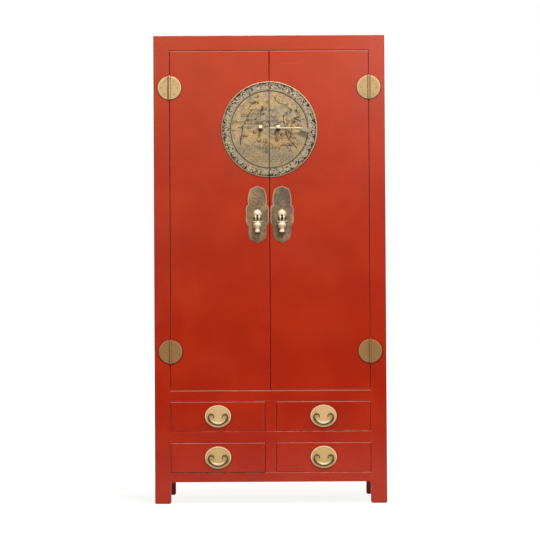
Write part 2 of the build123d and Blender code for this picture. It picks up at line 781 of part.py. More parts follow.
def hinge_leaf_right(z, on_door):
    """Half of a round hinge at the right door: a half disc and its knuckles."""
    disc = rod((HINGE_X, FRONT, z), (0, -1, 0), HINGE_RADIUS, LEAF)
    disc = fillet(disc.faces().sort_by(Axis.Y)[0].edges(), LEAF / 2)
    side = -1 if on_door else 1
    clear = BARREL_RADIUS + KNUCKLE_GAP
    far = HINGE_RADIUS + 1
    keep = block(
        HINGE_X + side * clear, HINGE_X + side * far, FRONT - LEAF, FRONT, z - far, z + far
    )
    leaf = disc & keep
    for z0, z1 in knuckle_spans(z, on_door):
        knuckle = rod((HINGE_X, HINGE_Y, z0), (0, 0, 1), BARREL_RADIUS, z1 - z0)
        tab_z0 = max(z0, z - HINGE_RADIUS + TAB_INSET)
        tab_z1 = min(z1, z + HINGE_RADIUS - TAB_INSET)
        knuckle += block(
            HINGE_X + side * TAB_START, HINGE_X + side * (clear + TAB_LAP), FRONT - LEAF, FRONT,
            tab_z0, tab_z1,
        )
        leaf += knuckle
    leaf -= rod(
        (HINGE_X, HINGE_Y, z - far), (0, 0, 1), PIN_RADIUS + PIN_FIT, 2 * far
    )
    for hole in nail_shanks(on_door, NAIL_FIT):
        leaf -= hole
    return leaf


def hinge_pin_right(z):
    """The pin, with a domed head above the top knuckle and a small one below."""
    reach = HINGE_RADIUS + PIN_HEAD_GAP
    start = (HINGE_X, HINGE_Y, z - reach - PIN_HEAD / 2)
    pin = rod(start, (0, 0, 1), PIN_RADIUS, 2 * reach + PIN_HEAD)
    for height, direction in ((z + reach, 1), (z - reach, -1)):
        head = rod((HINGE_X, HINGE_Y, height), (0, 0, direction), PIN_HEAD_RADIUS, PIN_HEAD)
        crown = head.faces().sort_by(Axis.Z)[-1 if direction > 0 else 0]
        pin += fillet(crown.edges(), PIN_HEAD_ROUND)
    return pin


# ---------------------------------------------------------------- lock
def lock_plate_right():
    """Right half of the round lock plate, with a raised rim and an inner bead."""
    r, t, h, w = LOCK_RADIUS, LOCK_PLATE, LOCK_RIM_HEIGHT, LOCK_RIM
    ring = LOCK_INNER_RADIUS
    profile = [
        (0, 0), (r, 0), (r, t + h * 0.5), (r - w * 0.3, t + h), (r - w * 0.7, t + h), (r - w, t),
        (ring + w / 2, t), (ring + w / 4, t + h * 0.6), (ring - w / 4, t + h * 0.6),
        (ring - w / 2, t), (0, t),
    ]
    plane = Plane(origin=(0, FRONT, LOCK_Z), x_dir=(1, 0, 0), z_dir=(0, 0, 1))
    section = plane * make_face(Polyline(*[(x, -y) for x, y in profile], close=True))
    axis = Axis((0, FRONT, LOCK_Z), (0, 1, 0))
    disc = revolve(section, axis, 360)
    far = LOCK_RADIUS + 1
    keep = block(DOOR_IN_X, far, FRONT - 2 * (t + h), FRONT, LOCK_Z - far, LOCK_Z + far)
    return disc & keep


def lock_eye_right():
    """Cast eye on the lock plate: a lug across the seam with a square-shouldered hole."""
    face = FRONT - LOCK_PLATE
    centre_y = FRONT - EYE_STANDOFF
    lug = rod((EYE_X - EYE_THICKNESS / 2, centre_y, EYE_Z), (1, 0, 0), EYE_RADIUS, EYE_THICKNESS)
    lug = fillet(lug.edges().filter_by(GeomType.CIRCLE), EYE_EDGE)
    neck = block(
        EYE_X - EYE_NECK_THICKNESS / 2, EYE_X + EYE_NECK_THICKNESS / 2,
        centre_y, face, EYE_Z - EYE_NECK / 2, EYE_Z + EYE_NECK / 2,
    )
    neck = fillet(neck.edges().filter_by(Axis.Y), EYE_EDGE)
    foot = rod((EYE_X, face, EYE_Z), (0, -1, 0), EYE_RADIUS, EYE_FOOT)
    foot = fillet(foot.faces().sort_by(Axis.Y)[0].edges(), EYE_FOOT_ROUND)
    half = EYE_HOLE / 2
    hole = block(
        EYE_X - EYE_RADIUS, EYE_X + EYE_RADIUS, centre_y - half, centre_y + half,
        EYE_Z - half, EYE_Z + half,
    )
    hole = fillet(hole.edges().filter_by(Axis.X), EYE_HOLE_ROUND)
    return lug + neck + foot - hole


def lock_bar():
    """The lock bar, drawn to the right: a round bar with a leaf-shaped head."""
    y = FRONT - EYE_STANDOFF
    end = BAR_DRAWN_TIP + BAR_LENGTH
    head_start = end - LEAF_HEAD_LENGTH
    shank_length = BAR_LENGTH - LEAF_HEAD_LENGTH + LEAF_HEAD_LENGTH / 4
    shank = rod((BAR_DRAWN_TIP, y, BAR_Z), (1, 0, 0), BAR_RADIUS, shank_length)
    shank = fillet(shank.faces().sort_by(Axis.X)[0].edges(), BAR_TIP_ROUND)
    upper, lower = (
        [(head_start + x * LEAF_HEAD_LENGTH, z * LEAF_HEAD_HEIGHT) for x, z in shares]
        for shares in (LEAF_UPPER, LEAF_LOWER)
    )
    above = (head_start, LEAF_STEM / 2)
    below = (head_start, -LEAF_STEM / 2)
    edge = Spline(above, *upper) + Spline(*lower, below) + Line(below, above)
    plane = Plane(origin=(0, y + LEAF_HEAD_THICKNESS / 2, BAR_Z), x_dir=(1, 0, 0), z_dir=(0, -1, 0))
    head = extrude(plane * make_face(edge), LEAF_HEAD_THICKNESS)
    return shank + head


# ---------------------------------------------------------------- door pulls
def pull_plate_right():
    """Lobed pull plate: pointed above and below, with a wide body between two lobes."""
    half = PULL_PLATE_HEIGHT / 2
    wide = PULL_PLATE_WIDTH / 2
    edge = Curve()
    for lobe in PULL_LOBES:
        edge += smooth_line([(x * wide, z * half) for x, z in lobe])
    plane = Plane(
        origin=(PULL_X, FRONT, PULL_PLATE_CENTRE), x_dir=(1, 0, 0), z_dir=(0, -1, 0)
    )
    outline = edge + mirror(edge, about=Plane.YZ)
    plate = extrude(plane * make_face(outline), PULL_PLATE)
    keep = block(
        DOOR_IN_X, PULL_X + PULL_PLATE_WIDTH, FRONT - 2 * PULL_PLATE, FRONT,
        PULL_PLATE_CENTRE - half, PULL_PLATE_CENTRE + half,
    )
    return plate & keep


def pull_pommel_right():
    """Domed pommel over two cheeks, with the pin that the pendant swings on."""
    face = FRONT - PULL_PLATE
    pivot_y = FRONT - PULL_STANDOFF
    dome_z = PULL_PIVOT + DOME_CENTRE_RISE
    dome = Pos(PULL_X, face, dome_z) * Sphere(DOME_RADIUS)
    dome &= block(
        PULL_X - DOME_RADIUS, PULL_X + DOME_RADIUS, face - DOME_RADIUS, face,
        dome_z - DOME_RADIUS, dome_z + DOME_RADIUS,
    )
    span = SLOT_WIDTH + 2 * CHEEK_THICKNESS
    cheek_start = (PULL_X - span / 2, pivot_y, PULL_PIVOT)
    cheeks = rod(cheek_start, (1, 0, 0), CHEEK_RADIUS, span)
    cheeks = fillet(cheeks.edges().filter_by(GeomType.CIRCLE), CHEEK_ROUND)
    cheeks += block(
        PULL_X - span / 2, PULL_X + span / 2, pivot_y, face,
        PULL_PIVOT - CHEEK_RADIUS, PULL_PIVOT + DOME_CENTRE_RISE / 2,
    )
    slot = block(
        PULL_X - SLOT_WIDTH / 2, PULL_X + SLOT_WIDTH / 2,
        pivot_y - CHEEK_RADIUS - PAST, face - SLOT_FLOOR,
        PULL_PIVOT - CHEEK_RADIUS - PAST, PULL_PIVOT + SLOT_RISE,
    )
    body = dome + cheeks - slot
    body -= rod(cheek_start, (1, 0, 0), PULL_PIN_RADIUS, span)
    pin = rod(cheek_start, (1, 0, 0), PULL_PIN_RADIUS, span)
    return body, pin


def pendant_wings():
    """Outline of the pendant's thin wings, which turn up at their ends."""
    reach = PENDANT_WING_REACH
    top, bottom = -PENDANT_WING_TOP, -PENDANT_WING_BOTTOM
    deep = bottom - top
    tip = (reach, top + PENDANT_WING_RISE)
    upper = [tip, (0.55 * reach, top + 0.2 * deep), (0.0, top)]
    lower = [tip, (0.88 * reach, top + 0.4 * deep), (0.5 * reach, bottom), (0.0, bottom)]
    flip = [[(-x, z) for x, z in reversed(line)] for line in (upper, lower)]
    return make_face(Spline(*upper, *flip[0][1:]) + Spline(*lower, *flip[1][1:]))


def pendant_right():
    """Hanging pendant: a tongue with its eye, wings, a bowl and a bell foot, flat at the back."""
    y = FRONT - PULL_STANDOFF
    z = PULL_PIVOT
    neck, vase, waist, foot = (
        PENDANT_NECK_RADIUS, PENDANT_VASE_RADIUS, PENDANT_WAIST_RADIUS, PENDANT_FOOT_RADIUS
    )
    neck_z, vase_z, waist_z, foot_z, end_z = (
        -PENDANT_WING_BOTTOM, -PENDANT_VASE_DROP, -PENDANT_WAIST_DROP, -PENDANT_FOOT_DROP,
        -PENDANT_LENGTH,
    )
    profile = Polyline((0, -PENDANT_WING_TOP), (neck, -PENDANT_WING_TOP), (neck, neck_z))
    profile += Spline(
        (neck, neck_z), ((neck + 1.5 * vase) / 2.5, (neck_z + 0.7 * vase_z) / 1.7), (vase, vase_z),
        ((vase + 0.4 * waist) / 1.4, (vase_z + 0.8 * waist_z) / 1.8), (waist, waist_z),
    )
    profile += Spline((waist, waist_z), ((2 * waist + foot) / 3, (waist_z + foot_z) / 2), (foot, foot_z))
    profile += Line((foot, foot_z), (foot - PENDANT_FOOT_ROUND, end_z))
    profile += Polyline((foot - PENDANT_FOOT_ROUND, end_z), (0, end_z), (0, -PENDANT_WING_TOP))
    plane = Plane(origin=(PULL_X, y, z), x_dir=(1, 0, 0), z_dir=(0, -1, 0))
    body = revolve(plane * make_face(profile), Axis((PULL_X, y, z), (0, 0, 1)), 360)
    wing_plane = plane.offset(-PENDANT_WING_DEPTH / 2)
    body += extrude(wing_plane * pendant_wings(), PENDANT_WING_DEPTH)
    half = PENDANT_TONGUE / 2
    tongue = rod((PULL_X - half, y, z), (1, 0, 0), PENDANT_TONGUE_RADIUS, PENDANT_TONGUE)
    tongue += block(
        PULL_X - half, PULL_X + half, y - PENDANT_TONGUE_STEM, y + PENDANT_TONGUE_STEM,
        z - (PENDANT_WING_TOP + PENDANT_WING_BOTTOM) / 2, z,
    )
    body += tongue
    body -= rod(
        (PULL_X - half - PAST, y, z), (1, 0, 0), PULL_PIN_RADIUS + PIN_FIT,
        PENDANT_TONGUE + 2 * PAST,
    )
    back_plane = FRONT - PULL_PLATE - PENDANT_BACK_GAP
    wide = 2 * PENDANT_VASE_RADIUS
    return body & block(
        PULL_X - wide, PULL_X + wide, y - wide, back_plane, z - PENDANT_LENGTH - PAST, z + wide
    )


def build_doors():
    hinge_leaves = [hinge_leaf_right(z, True) for z in HINGE_HEIGHTS]
    post_leaves = [hinge_leaf_right(z, False) for z in HINGE_HEIGHTS] + hinge_nails(False)
    pins = [hinge_pin_right(z) for z in HINGE_HEIGHTS]
    write("hinge_post_leaves", *post_leaves, *[flipped(leaf) for leaf in post_leaves])
    write("hinge_pins", *pins, *[flipped(pin) for pin in pins])
    pieces = {
        "frame": door_members(),
        "panel": [door_panel()],
        "battens": batten_blocks(),
        "hinge_leaves": hinge_leaves + hinge_nails(True),
        "lock_plate": [lock_plate_right()],
        "lock_eye": [lock_eye_right()],
        "pull_plate": [pull_plate_right()],
        "pull_pommel": list(pull_pommel_right()),
        "pendant": [pendant_right()],
    }
    for name, shapes in pieces.items():
        write("door_right_" + name, *shapes)
        write("door_left_" + name, *[flipped(shape) for shape in shapes])
    write("lock_bar", lock_bar())


# ---------------------------------------------------------------- drawers
def drawer_span(side):
    """Left and right edge of a drawer front, for side -1 or 1."""
    near = side * (MUNTIN / 2 + DRAWER_GAP)
    far = side * (OPENING_X - DRAWER_GAP)
    return min(near, far), max(near, far)


def drawer_tails(x0, x1, level, root_y, end_y, grow=0.0):
    """Dovetails at one end of both drawer sides, or their sockets when grown."""
    pitch = DRAWER_SIDE_HEIGHT / TAIL_COUNT
    opening = PAST if grow else 0.0
    tip_y = end_y + (grow if end_y > root_y else -grow)
    tails = []
    for number in range(TAIL_COUNT):
        middle = level + RUNNING_GAP + (number + 0.5) * pitch
        end, root = TAIL_END / 2 + grow, TAIL_ROOT / 2 + grow
        outline = [
            (tip_y, middle - end), (root_y, middle - root),
            (root_y, middle + root), (tip_y, middle + end),
        ]
        tails.append(side_prism(outline, x0 - opening, x0 + DRAWER_SIDE + grow))
        tails.append(side_prism(outline, x1 - DRAWER_SIDE - grow, x1 + opening))
    return tails


def drawer_sides(x0, x1, level, front_root, back_root):
    """Both sides of a drawer, without their tails."""
    base = level + RUNNING_GAP
    return [
        block(start, start + DRAWER_SIDE, front_root, back_root, base, base + DRAWER_SIDE_HEIGHT)
        for start in (x0, x1 - DRAWER_SIDE)
    ]


def drawer_bottom(x0, x1, level, y0, grow=0.0):
    """The drawer's bottom board, or its groove in the sides and front when grown."""
    end_gap = 0.0 if grow else TONGUE_END_GAP
    inset = DRAWER_SIDE - DRAWER_BOTTOM_GROOVE + end_gap
    front = y0 + DRAWER_FRONT - DRAWER_BOTTOM_GROOVE + end_gap
    z0 = level + RUNNING_GAP + DRAWER_BOTTOM_RISE
    rear = y0 + DRAWER_LENGTH + (PAST if grow else 0.0)
    return block(
        x0 + inset, x1 - inset, front, rear, z0 - grow, z0 + DRAWER_BOTTOM + grow
    )


def build_drawer(name, side, level, proud):
    """One drawer: front, box, oval plate with two lugs, and the bail."""
    x0, x1 = drawer_span(side)
    y0 = FRONT - proud
    rear = y0 + DRAWER_LENGTH
    ends = (
        (y0 + DRAWER_FRONT, y0 + DRAWER_FRONT - TAIL_DEPTH), (rear - DRAWER_BACK, rear),
    )
    bottom_groove = drawer_bottom(x0, x1, level, y0, TENON_FIT)
    front = rounded_block(
        x0, x1, y0, y0 + DRAWER_FRONT, level + DRAWER_GAP, level + DRAWER_OPENING - DRAWER_GAP
    )
    for socket in drawer_tails(x0, x1, level, *ends[0], TENON_FIT):
        front -= socket
    back = block(
        x0, x1, rear - DRAWER_BACK, rear,
        level + RUNNING_GAP + DRAWER_BOTTOM_RISE + DRAWER_BOTTOM,
        level + RUNNING_GAP + DRAWER_SIDE_HEIGHT,
    )
    for socket in drawer_tails(x0, x1, level, *ends[1], TENON_FIT):
        back -= socket
    sides = drawer_sides(x0, x1, level, ends[0][0], ends[1][0])
    for end in ends:
        tails = drawer_tails(x0, x1, level, *end)
        sides = [
            side + tails[number::2] for number, side in enumerate(sides)
        ]
    write(name + "_front", front - bottom_groove)
    write(
        name + "_box", *[side - bottom_groove for side in sides], back,
        drawer_bottom(x0, x1, level, y0),
    )
    centre = ((x0 + x1) / 2, y0, level + DRAWER_OPENING / 2)
    write(name + "_pull_plate", oval_plate(*centre))
    write(name + "_bail", bail(*centre))


def oval_plate(x, y, z):
    """Oval brass plate with the two lugs that carry the bail."""
    plane = Plane(origin=(x, y, z), x_dir=(1, 0, 0), z_dir=(0, -1, 0))
    plate = extrude(plane * Ellipse(OVAL_WIDTH / 2, OVAL_HEIGHT / 2), OVAL_PLATE)
    plate = fillet(plate.faces().sort_by(Axis.Y)[0].edges(), OVAL_PLATE / 2)
    pivot_y = y - BAIL_STANDOFF
    pivot_z = z + BAIL_PIVOT_RISE
    for side in (-1, 1):
        middle = x + side * BAIL_PIVOT_X
        start = middle - LUG_THICKNESS / 2
        lug = rod((start, pivot_y, pivot_z), (1, 0, 0), LUG_RADIUS, LUG_THICKNESS)
        lug += block(
            start, start + LUG_THICKNESS, pivot_y, y - OVAL_PLATE / 2,
            pivot_z - LUG_STEM, pivot_z + LUG_STEM,
        )
        foot = rod((middle, y - OVAL_PLATE / 2, pivot_z), (0, -1, 0), LUG_FOOT_RADIUS, OVAL_PLATE)
        plate += lug + foot
        plate -= rod(
            (start - PAST, pivot_y, pivot_z), (1, 0, 0), BAIL_TRUNNION_RADIUS + TRUNNION_FIT,
            LUG_THICKNESS + 2 * PAST,
        )
    return plate


def bail(x, y, z):
    """Crescent bail, bevelled at the front: its arms turn inward through the lugs and end in
    hooks."""
    pivot_y = y - BAIL_STANDOFF
    pivot_z = z + BAIL_PIVOT_RISE
    plane = Plane(origin=(x, pivot_y, pivot_z), x_dir=(1, 0, 0), z_dir=(0, -1, 0))
    knee = BAIL_PIVOT_X + LUG_THICKNESS / 2 + LUG_GAP
    half = BAIL_END_HEIGHT / 2
    inner_reach = BAIL_HALF_WIDTH - BAIL_ARM_WIDTH
    inner_drop = BAIL_DROP - BAIL_BOTTOM_WIDTH
    edges = []
    for shares, reach, drop, start in (
        (BAIL_OUTER, BAIL_HALF_WIDTH, BAIL_DROP, half),
        (BAIL_INNER, inner_reach, inner_drop, -half),
    ):
        right = [(knee, start)] + [(a * reach, b * drop) for a, b in shares]
        edges.append(right + [(0, -drop)] + [(-a, b) for a, b in reversed(right)])
    outer, inner = edges
    crescent = make_face(
        Spline(*outer) + Line(outer[-1], inner[-1]) + Spline(*inner) + Line(inner[0], outer[0])
    )
    body = extrude(plane.offset(-BAIL_THICKNESS / 2) * crescent, BAIL_THICKNESS)
    front = body.faces().sort_by(Axis.Y)[0]
    body = chamfer([e for e in front.edges() if e.geom_type != GeomType.LINE], BAIL_CHAMFER)
    hook_start = BAIL_PIVOT_X - LUG_THICKNESS / 2 - LUG_GAP
    upper, lower = (
        [(hook_start - a * HOOK_REACH, b * HOOK_DROP) for a, b in shares]
        for shares in (HOOK_UPPER, HOOK_LOWER)
    )
    above, below = (hook_start, half), (hook_start, -half)
    hook = make_face(Spline(above, *upper) + Spline(*lower, below) + Line(below, above))
    hook = extrude(plane.offset(-half) * hook, 2 * half)
    trunnion = rod(
        (x + knee + half, pivot_y, pivot_z), (-1, 0, 0), BAIL_TRUNNION_RADIUS,
        knee - hook_start + 2 * half,
    )
    for piece in (hook, trunnion):
        body += piece
        body += mirror(piece, about=Plane.YZ.offset(x))
    return body


def build_drawers():
    lower, upper = DRAWER_LEVELS
    build_drawer("drawer_upper_left", -1, upper, 0.0)
    build_drawer("drawer_upper_right", 1, upper, 0.0)
    build_drawer("drawer_lower_left", -1, lower, DRAWER_PROUD)
    build_drawer("drawer_lower_right", 1, lower, 0.0)


os.makedirs("parts", exist_ok=True)
build_carcass()
build_doors()
build_drawers()
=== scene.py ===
"""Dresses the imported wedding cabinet: lacquer, bare wood, engraved and polished brass."""

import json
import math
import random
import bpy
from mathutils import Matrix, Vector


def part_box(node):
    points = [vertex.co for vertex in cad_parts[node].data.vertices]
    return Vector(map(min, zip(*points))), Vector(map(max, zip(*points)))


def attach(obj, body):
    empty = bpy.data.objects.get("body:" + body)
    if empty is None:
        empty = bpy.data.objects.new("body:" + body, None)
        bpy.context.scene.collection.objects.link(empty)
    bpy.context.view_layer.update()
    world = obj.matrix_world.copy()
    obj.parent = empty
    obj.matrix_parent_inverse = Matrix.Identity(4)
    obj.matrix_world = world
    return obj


bl_info = {
    "name": "Lacquered Wedding Cabinet",
    "version": (1, 0, 0),
    "blender": (4, 5, 0),
    "location": "View3D > Sidebar > Cabinet",
    "description": "Finishes a packed wedding cabinet and sets up its studio",
    "category": "Object",
}

import bmesh
import bpy
from bpy.props import FloatProperty, FloatVectorProperty, IntProperty, PointerProperty
from bpy.types import NodeSocket
from mathutils import Matrix, Vector

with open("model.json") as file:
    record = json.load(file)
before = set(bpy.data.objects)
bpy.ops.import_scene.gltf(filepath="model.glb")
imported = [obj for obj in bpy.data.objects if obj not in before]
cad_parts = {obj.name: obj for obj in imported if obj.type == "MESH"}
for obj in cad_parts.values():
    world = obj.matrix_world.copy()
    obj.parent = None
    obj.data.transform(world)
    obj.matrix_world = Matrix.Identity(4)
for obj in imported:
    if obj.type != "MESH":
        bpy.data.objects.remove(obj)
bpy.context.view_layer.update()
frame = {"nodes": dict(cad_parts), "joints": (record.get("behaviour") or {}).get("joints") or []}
NODES = frame["nodes"]
MM = 0.001
TOUCHING = 1e-7
SHARP = math.radians(38)
SIDES = {"left": -1, "right": 1}
DRAWERS = ("upper_left", "upper_right", "lower_left", "lower_right")


def hex_colour(code):
    """An sRGB hex value as the linear colour that a shader takes."""
    values = [int(code[i:i + 2], 16) / 255 for i in (0, 2, 4)]
    linear = [v / 12.92 if v <= 0.04045 else ((v + 0.055) / 1.055) ** 2.4 for v in values]
    return (*linear, 1.0)


def colour_prop(label, about, code):
    """A colour setting whose default is an sRGB hex value."""
    return FloatVectorProperty(
        name=label, description=about, subtype="COLOR", size=4, min=0, max=1,
        default=hex_colour(code),
    )


def number_prop(label, about, value, unit="NONE"):
    """A number setting, in metres or radians where it has a unit."""
    return FloatProperty(name=label, description=about, default=value, unit=unit)


# ---------------------------------------------------------------- places read from the frame
def node_box(name):
    """The low and high corner of a piece at rest."""
    low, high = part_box(name)
    return Vector(low), Vector(high)


def node_round(name):
    """The middle of a piece at rest, and its half size."""
    low, high = node_box(name)
    return (low + high) / 2, (high - low) / 2


def joint_place(name):
    """A point on a joint's axis."""
    joint = next(j for j in frame["joints"] if j["name"] == name)
    return Vector(joint["pos_m"])


FRONT = node_box("door_right_frame")[0].y
LOCK_LOW, LOCK_HIGH = node_box("door_right_lock_plate")
LOCK_RADIUS = (LOCK_HIGH.z - LOCK_LOW.z) / 2
LOCK_CENTRE = Vector((0, FRONT, (LOCK_LOW.z + LOCK_HIGH.z) / 2))
LOCK_FACE = FRONT - 1.4 * MM
LOCK_RIM = 4 * MM
FIELD_RADIUS = 157 * MM
PULL_FACE = FRONT - 1.5 * MM
OVAL_THICKNESS = 1.5 * MM


def hinge_rounds():
    """The middle and half size of the right door's two round hinges."""
    low, high = node_box("door_right_hinge_leaves")
    axis = joint_place("door_right_hinge").x
    radius = axis - low.x
    for z in (low.z + radius, high.z - radius):
        yield Vector((axis, FRONT, z)), Vector((radius, 0, radius))


# ---------------------------------------------------------------- settings
class CabinetLacquer(bpy.types.PropertyGroup):
    red: colour_prop("Red", "Main colour of the lacquer", "C22A06")
    deep_red: colour_prop("Deep red", "Thicker, darker lacquer between strokes", "B62408")
    # The next two colours paint the pale upper edges: rubbed lacquer and a painted highlight on the
    # rounded edge.
    worn_and_highlit_red: colour_prop("Worn red", "Lacquer rubbed thin along an upper edge", "D4705F")
    bare_and_highlit_edge: colour_prop("Bare edge", "Ground coat where an edge is rubbed through", "DC8676")
    # This colour is real grime and wax, and also painted shadow round the fittings and painted
    # shade on the outer corners.
    grime_and_shade: colour_prop("Grime", "Dust and wax held in the lacquer", "661408")
    # Width of the pale upper edges, which are partly a painted highlight.
    wear_and_highlight_width: number_prop("Wear width", "Reach of the rubbing from an edge", 3.6 * MM, "LENGTH")
    roughness: number_prop("Roughness", "Roughness of the lacquer", 0.16)


class CabinetBrass(bpy.types.PropertyGroup):
    polished: colour_prop("Polished brass", "Brushed fittings", "EACAA0")
    pale: colour_prop("Pale brass", "Handled castings, rubbed bright", "FFF0DC")
    aged: colour_prop("Aged brass", "Engraved plates", "CEAE7C")
    patina: colour_prop("Patina", "Dark growth in the ground of the engraving", "4A3C2C")
    seed: IntProperty(name="Engraving seed", description="Varies the engraved ornament", default=7)


class CabinetStage(bpy.types.PropertyGroup):
    distance: number_prop("Distance", "Camera to the cabinet's face", 9.0, "LENGTH")
    height: number_prop("Height", "Camera above the floor", 0.760, "LENGTH")
    pitch: number_prop("Pitch", "Camera tilted up", math.radians(1.18), "ROTATION")
    roll: number_prop("Roll", "Camera turned about its own axis", math.radians(-0.31), "ROTATION")
    lens: number_prop("Lens", "Focal length in millimetres", 147.9)
    key: number_prop("Key light", "Power of the overhead light", 142.0)
    ambient: number_prop("Ambient", "Soft light of the room", 0.3)
    sheen: number_prop("Sheen", "Brightness of the room in reflections", 2.5)


# ---------------------------------------------------------------- shader nodes
USUAL = {"MapRange": {"interpolation_type": "SMOOTHSTEP"}}


def add(kind, inputs=(), out=0, tree=None, **settings):
    """Adds one shader node and gives back one of its outputs, or all where out is None. A kind
    in capitals is an operation of the Math node. inputs are values or sockets, in the order
    of the node's own or a dict by their name or number; the node goes in the sockets' tree."""
    if kind.isupper():
        kind, settings = "Math", {"operation": kind}
    inputs = inputs if isinstance(inputs, dict) else dict(enumerate(inputs))
    links = {key: value for key, value in inputs.items() if isinstance(value, NodeSocket)}
    tree = tree or next(iter(links.values())).id_data
    node = tree.nodes.new("ShaderNode" + kind)
    for name, value in {**USUAL.get(kind, {}), **settings}.items():
        setattr(node, name, value)
    for key, value in inputs.items():
        if key in links:
            tree.links.new(value, node.inputs[key])
        else:
            node.inputs[key].default_value = value
    return node.outputs if out is None else node.outputs[out]


def start_material(name):
    """An empty material and the object's own coordinates."""
    material = bpy.data.materials.new(name)
    material.use_nodes = True
    material.node_tree.nodes.clear()
    return material, add("TexCoord", out="Object", tree=material.node_tree)


def finish_material(**sockets):
    """Closes a material with the principled shader."""
    inputs = {name.replace("_", " "): value for name, value in sockets.items()}
    shader = add("BsdfPrincipled", inputs)
    add("OutputMaterial", {"Surface": shader}, None)


def together(operation, *values):
    """Values put together from left to right by one operation, such as SUBTRACT."""
    whole = values[0]
    for value in values[1:]:
        whole = add(operation, (whole, value))
    return whole


def painted(body, colour, *amounts):
    """A colour laid over the body's, as far as the amounts multiplied together say."""
    below, above = (hex_colour(c) if isinstance(c, str) else c for c in (body, colour))
    amount = together("MULTIPLY", *amounts)
    return add("Mix", {0: amount, 6: below, 7: above}, 2, data_type="RGBA")


def patches(place, size, start, full, detail=2.0, roughness=0.5):
    """Patches about size millimetres across: 0 where noise is under start, 1 over full."""
    inputs = {"Vector": place, "Scale": 1000 / size, "Detail": detail, "Roughness": roughness}
    return add("MapRange", (add("TexNoise", inputs), start, full))


def past(place, axis, start, full):
    """0 before start along an axis and 1 beyond full, smooth between."""
    way = add("SeparateXYZ", (place,), "XYZ".index(axis))
    return add("MapRange", (way, start, full))


def within(value, middle, half, soft):
    """1 where a value is within half of the middle, falling to 0 over a soft edge."""
    away = together("SUBTRACT", value, middle)
    away = add("ABSOLUTE", (away,))
    return add("MapRange", (away, half + soft, half))


def mirrored(place):
    """The coordinates with the left half of the cabinet laid over the right."""
    x, y, z = add("SeparateXYZ", (place,), None)
    return add("ABSOLUTE", (x,)), y, z


def edge_distance(place, low, high):
    """Distance to the nearest edge of a box: the middle one of the three face distances."""
    near = []
    for axis, way in enumerate(add("SeparateXYZ", (place,), None)):
        below = together("SUBTRACT", way, low[axis])
        above = together("SUBTRACT", high[axis], way)
        near.append(together("MINIMUM", below, above))
    smaller, larger = (together(which, *near[:2]) for which in ("MINIMUM", "MAXIMUM"))
    return together("MAXIMUM", smaller, together("MINIMUM", larger, near[2]))


def round_size(place, centre, half):
    """Distance from the centre of a round or oval plate and of its twin on the other side of
    the cabinet, as a share of the plate's half width and half height."""
    x, _, z = mirrored(place)
    squares = []
    for way, middle, reach in ((x, abs(centre.x), half.x), (z, centre.z, half.z)):
        share = together("SUBTRACT", way, middle)
        share = together("DIVIDE", share, reach)
        squares.append(together("POWER", share, 2.0))
    return add("SQRT", (together("ADD", *squares),))


# ---------------------------------------------------------------- places on the surfaces
def hairline(place):
    """The crack in the lacquer over the mitred corners of the front frame."""
    low, high = node_box("top_rail_front")
    post_low, post_high = node_box("post_front_right")
    slope = (high.z - low.z) / (post_high.x - post_low.x)
    x, _, z = mirrored(place)
    across = together("SUBTRACT", high.x, x)
    up = together("SUBTRACT", z, high.z)
    away = add("MULTIPLY_ADD", (across, slope, up))
    return within(away, 0.0, 0.5 * MM, 0.6 * MM)


def scratch(place):
    """A shallow scratch high on the right door."""
    x, _, z = add("SeparateXYZ", (place,), None)
    along = within(x, 84 * MM, 30 * MM, 12 * MM)
    return together("MULTIPLY", along, within(z, 1786 * MM, 0.5 * MM, 0.5 * MM))


def door_top_highlight(place):
    """The doors' upper edge: a painted highlight on the rounded edge, and the ground coat rubbed
    through.
    """
    top = node_box("door_right_frame")[1].z
    return past(place, "Z", top - 2.6 * MM, top - 1.2 * MM)


def outer_edge_shade(place):
    """Painted shade on the front's outer corners, where the rounded corner turns away from the
    light.
    """
    edge = node_box("post_front_right")[1].x
    across = mirrored(place)[0]
    outside = add("MapRange", (across, edge - 5 * MM, edge - 2 * MM))
    corner = past(place, "Y", FRONT + 12 * MM, FRONT + 4 * MM)
    return together("MULTIPLY", corner, outside)


def round_rim_highlight(centre, half, width=3.6 * MM):
    """A painted highlight on the upper rim of a round or oval plate, strongest at the top."""
    inner = width / half.z

    def shape(place):
        size = round_size(place, centre, half)
        plate = add("MapRange", (size, 1.2, 1.1))
        rim = add("MapRange", (size, 1 - 1.6 * inner, 1 - inner))
        above = past(place, "Z", centre.z - 0.6 * half.z, centre.z + 0.3 * half.z)
        above = add("MULTIPLY_ADD", (above, 0.75, 0.15))
        return together("MULTIPLY", plate, rim, above)

    return shape


def wax_and_shadow_round(centre, half, reach=5.5 * MM):
    """Old wax and dust, with painted shadow, in the corner between a round or oval plate and
    the lacquer; most of it is under the plate, where the shadow falls."""
    outer, inner = reach / half.z, MM / half.z

    def shape(place):
        size = round_size(place, centre, half)
        outside = add("MapRange", (size, 1 + outer, 1 + 0.4 * outer))
        ring = add("MapRange", (size, 1 - 3 * inner, 1 - 2 * inner))
        face = past(place, "Y", FRONT + 1.0 * MM, FRONT + 0.5 * MM)
        # Painted shadow: stronger under the plate.
        under = past(place, "Z", centre.z + half.z, centre.z - 0.3 * half.z)
        under = add("MULTIPLY_ADD", (under, 0.7, 0.3))
        return together("MULTIPLY", outside, ring, face, under)

    return shape


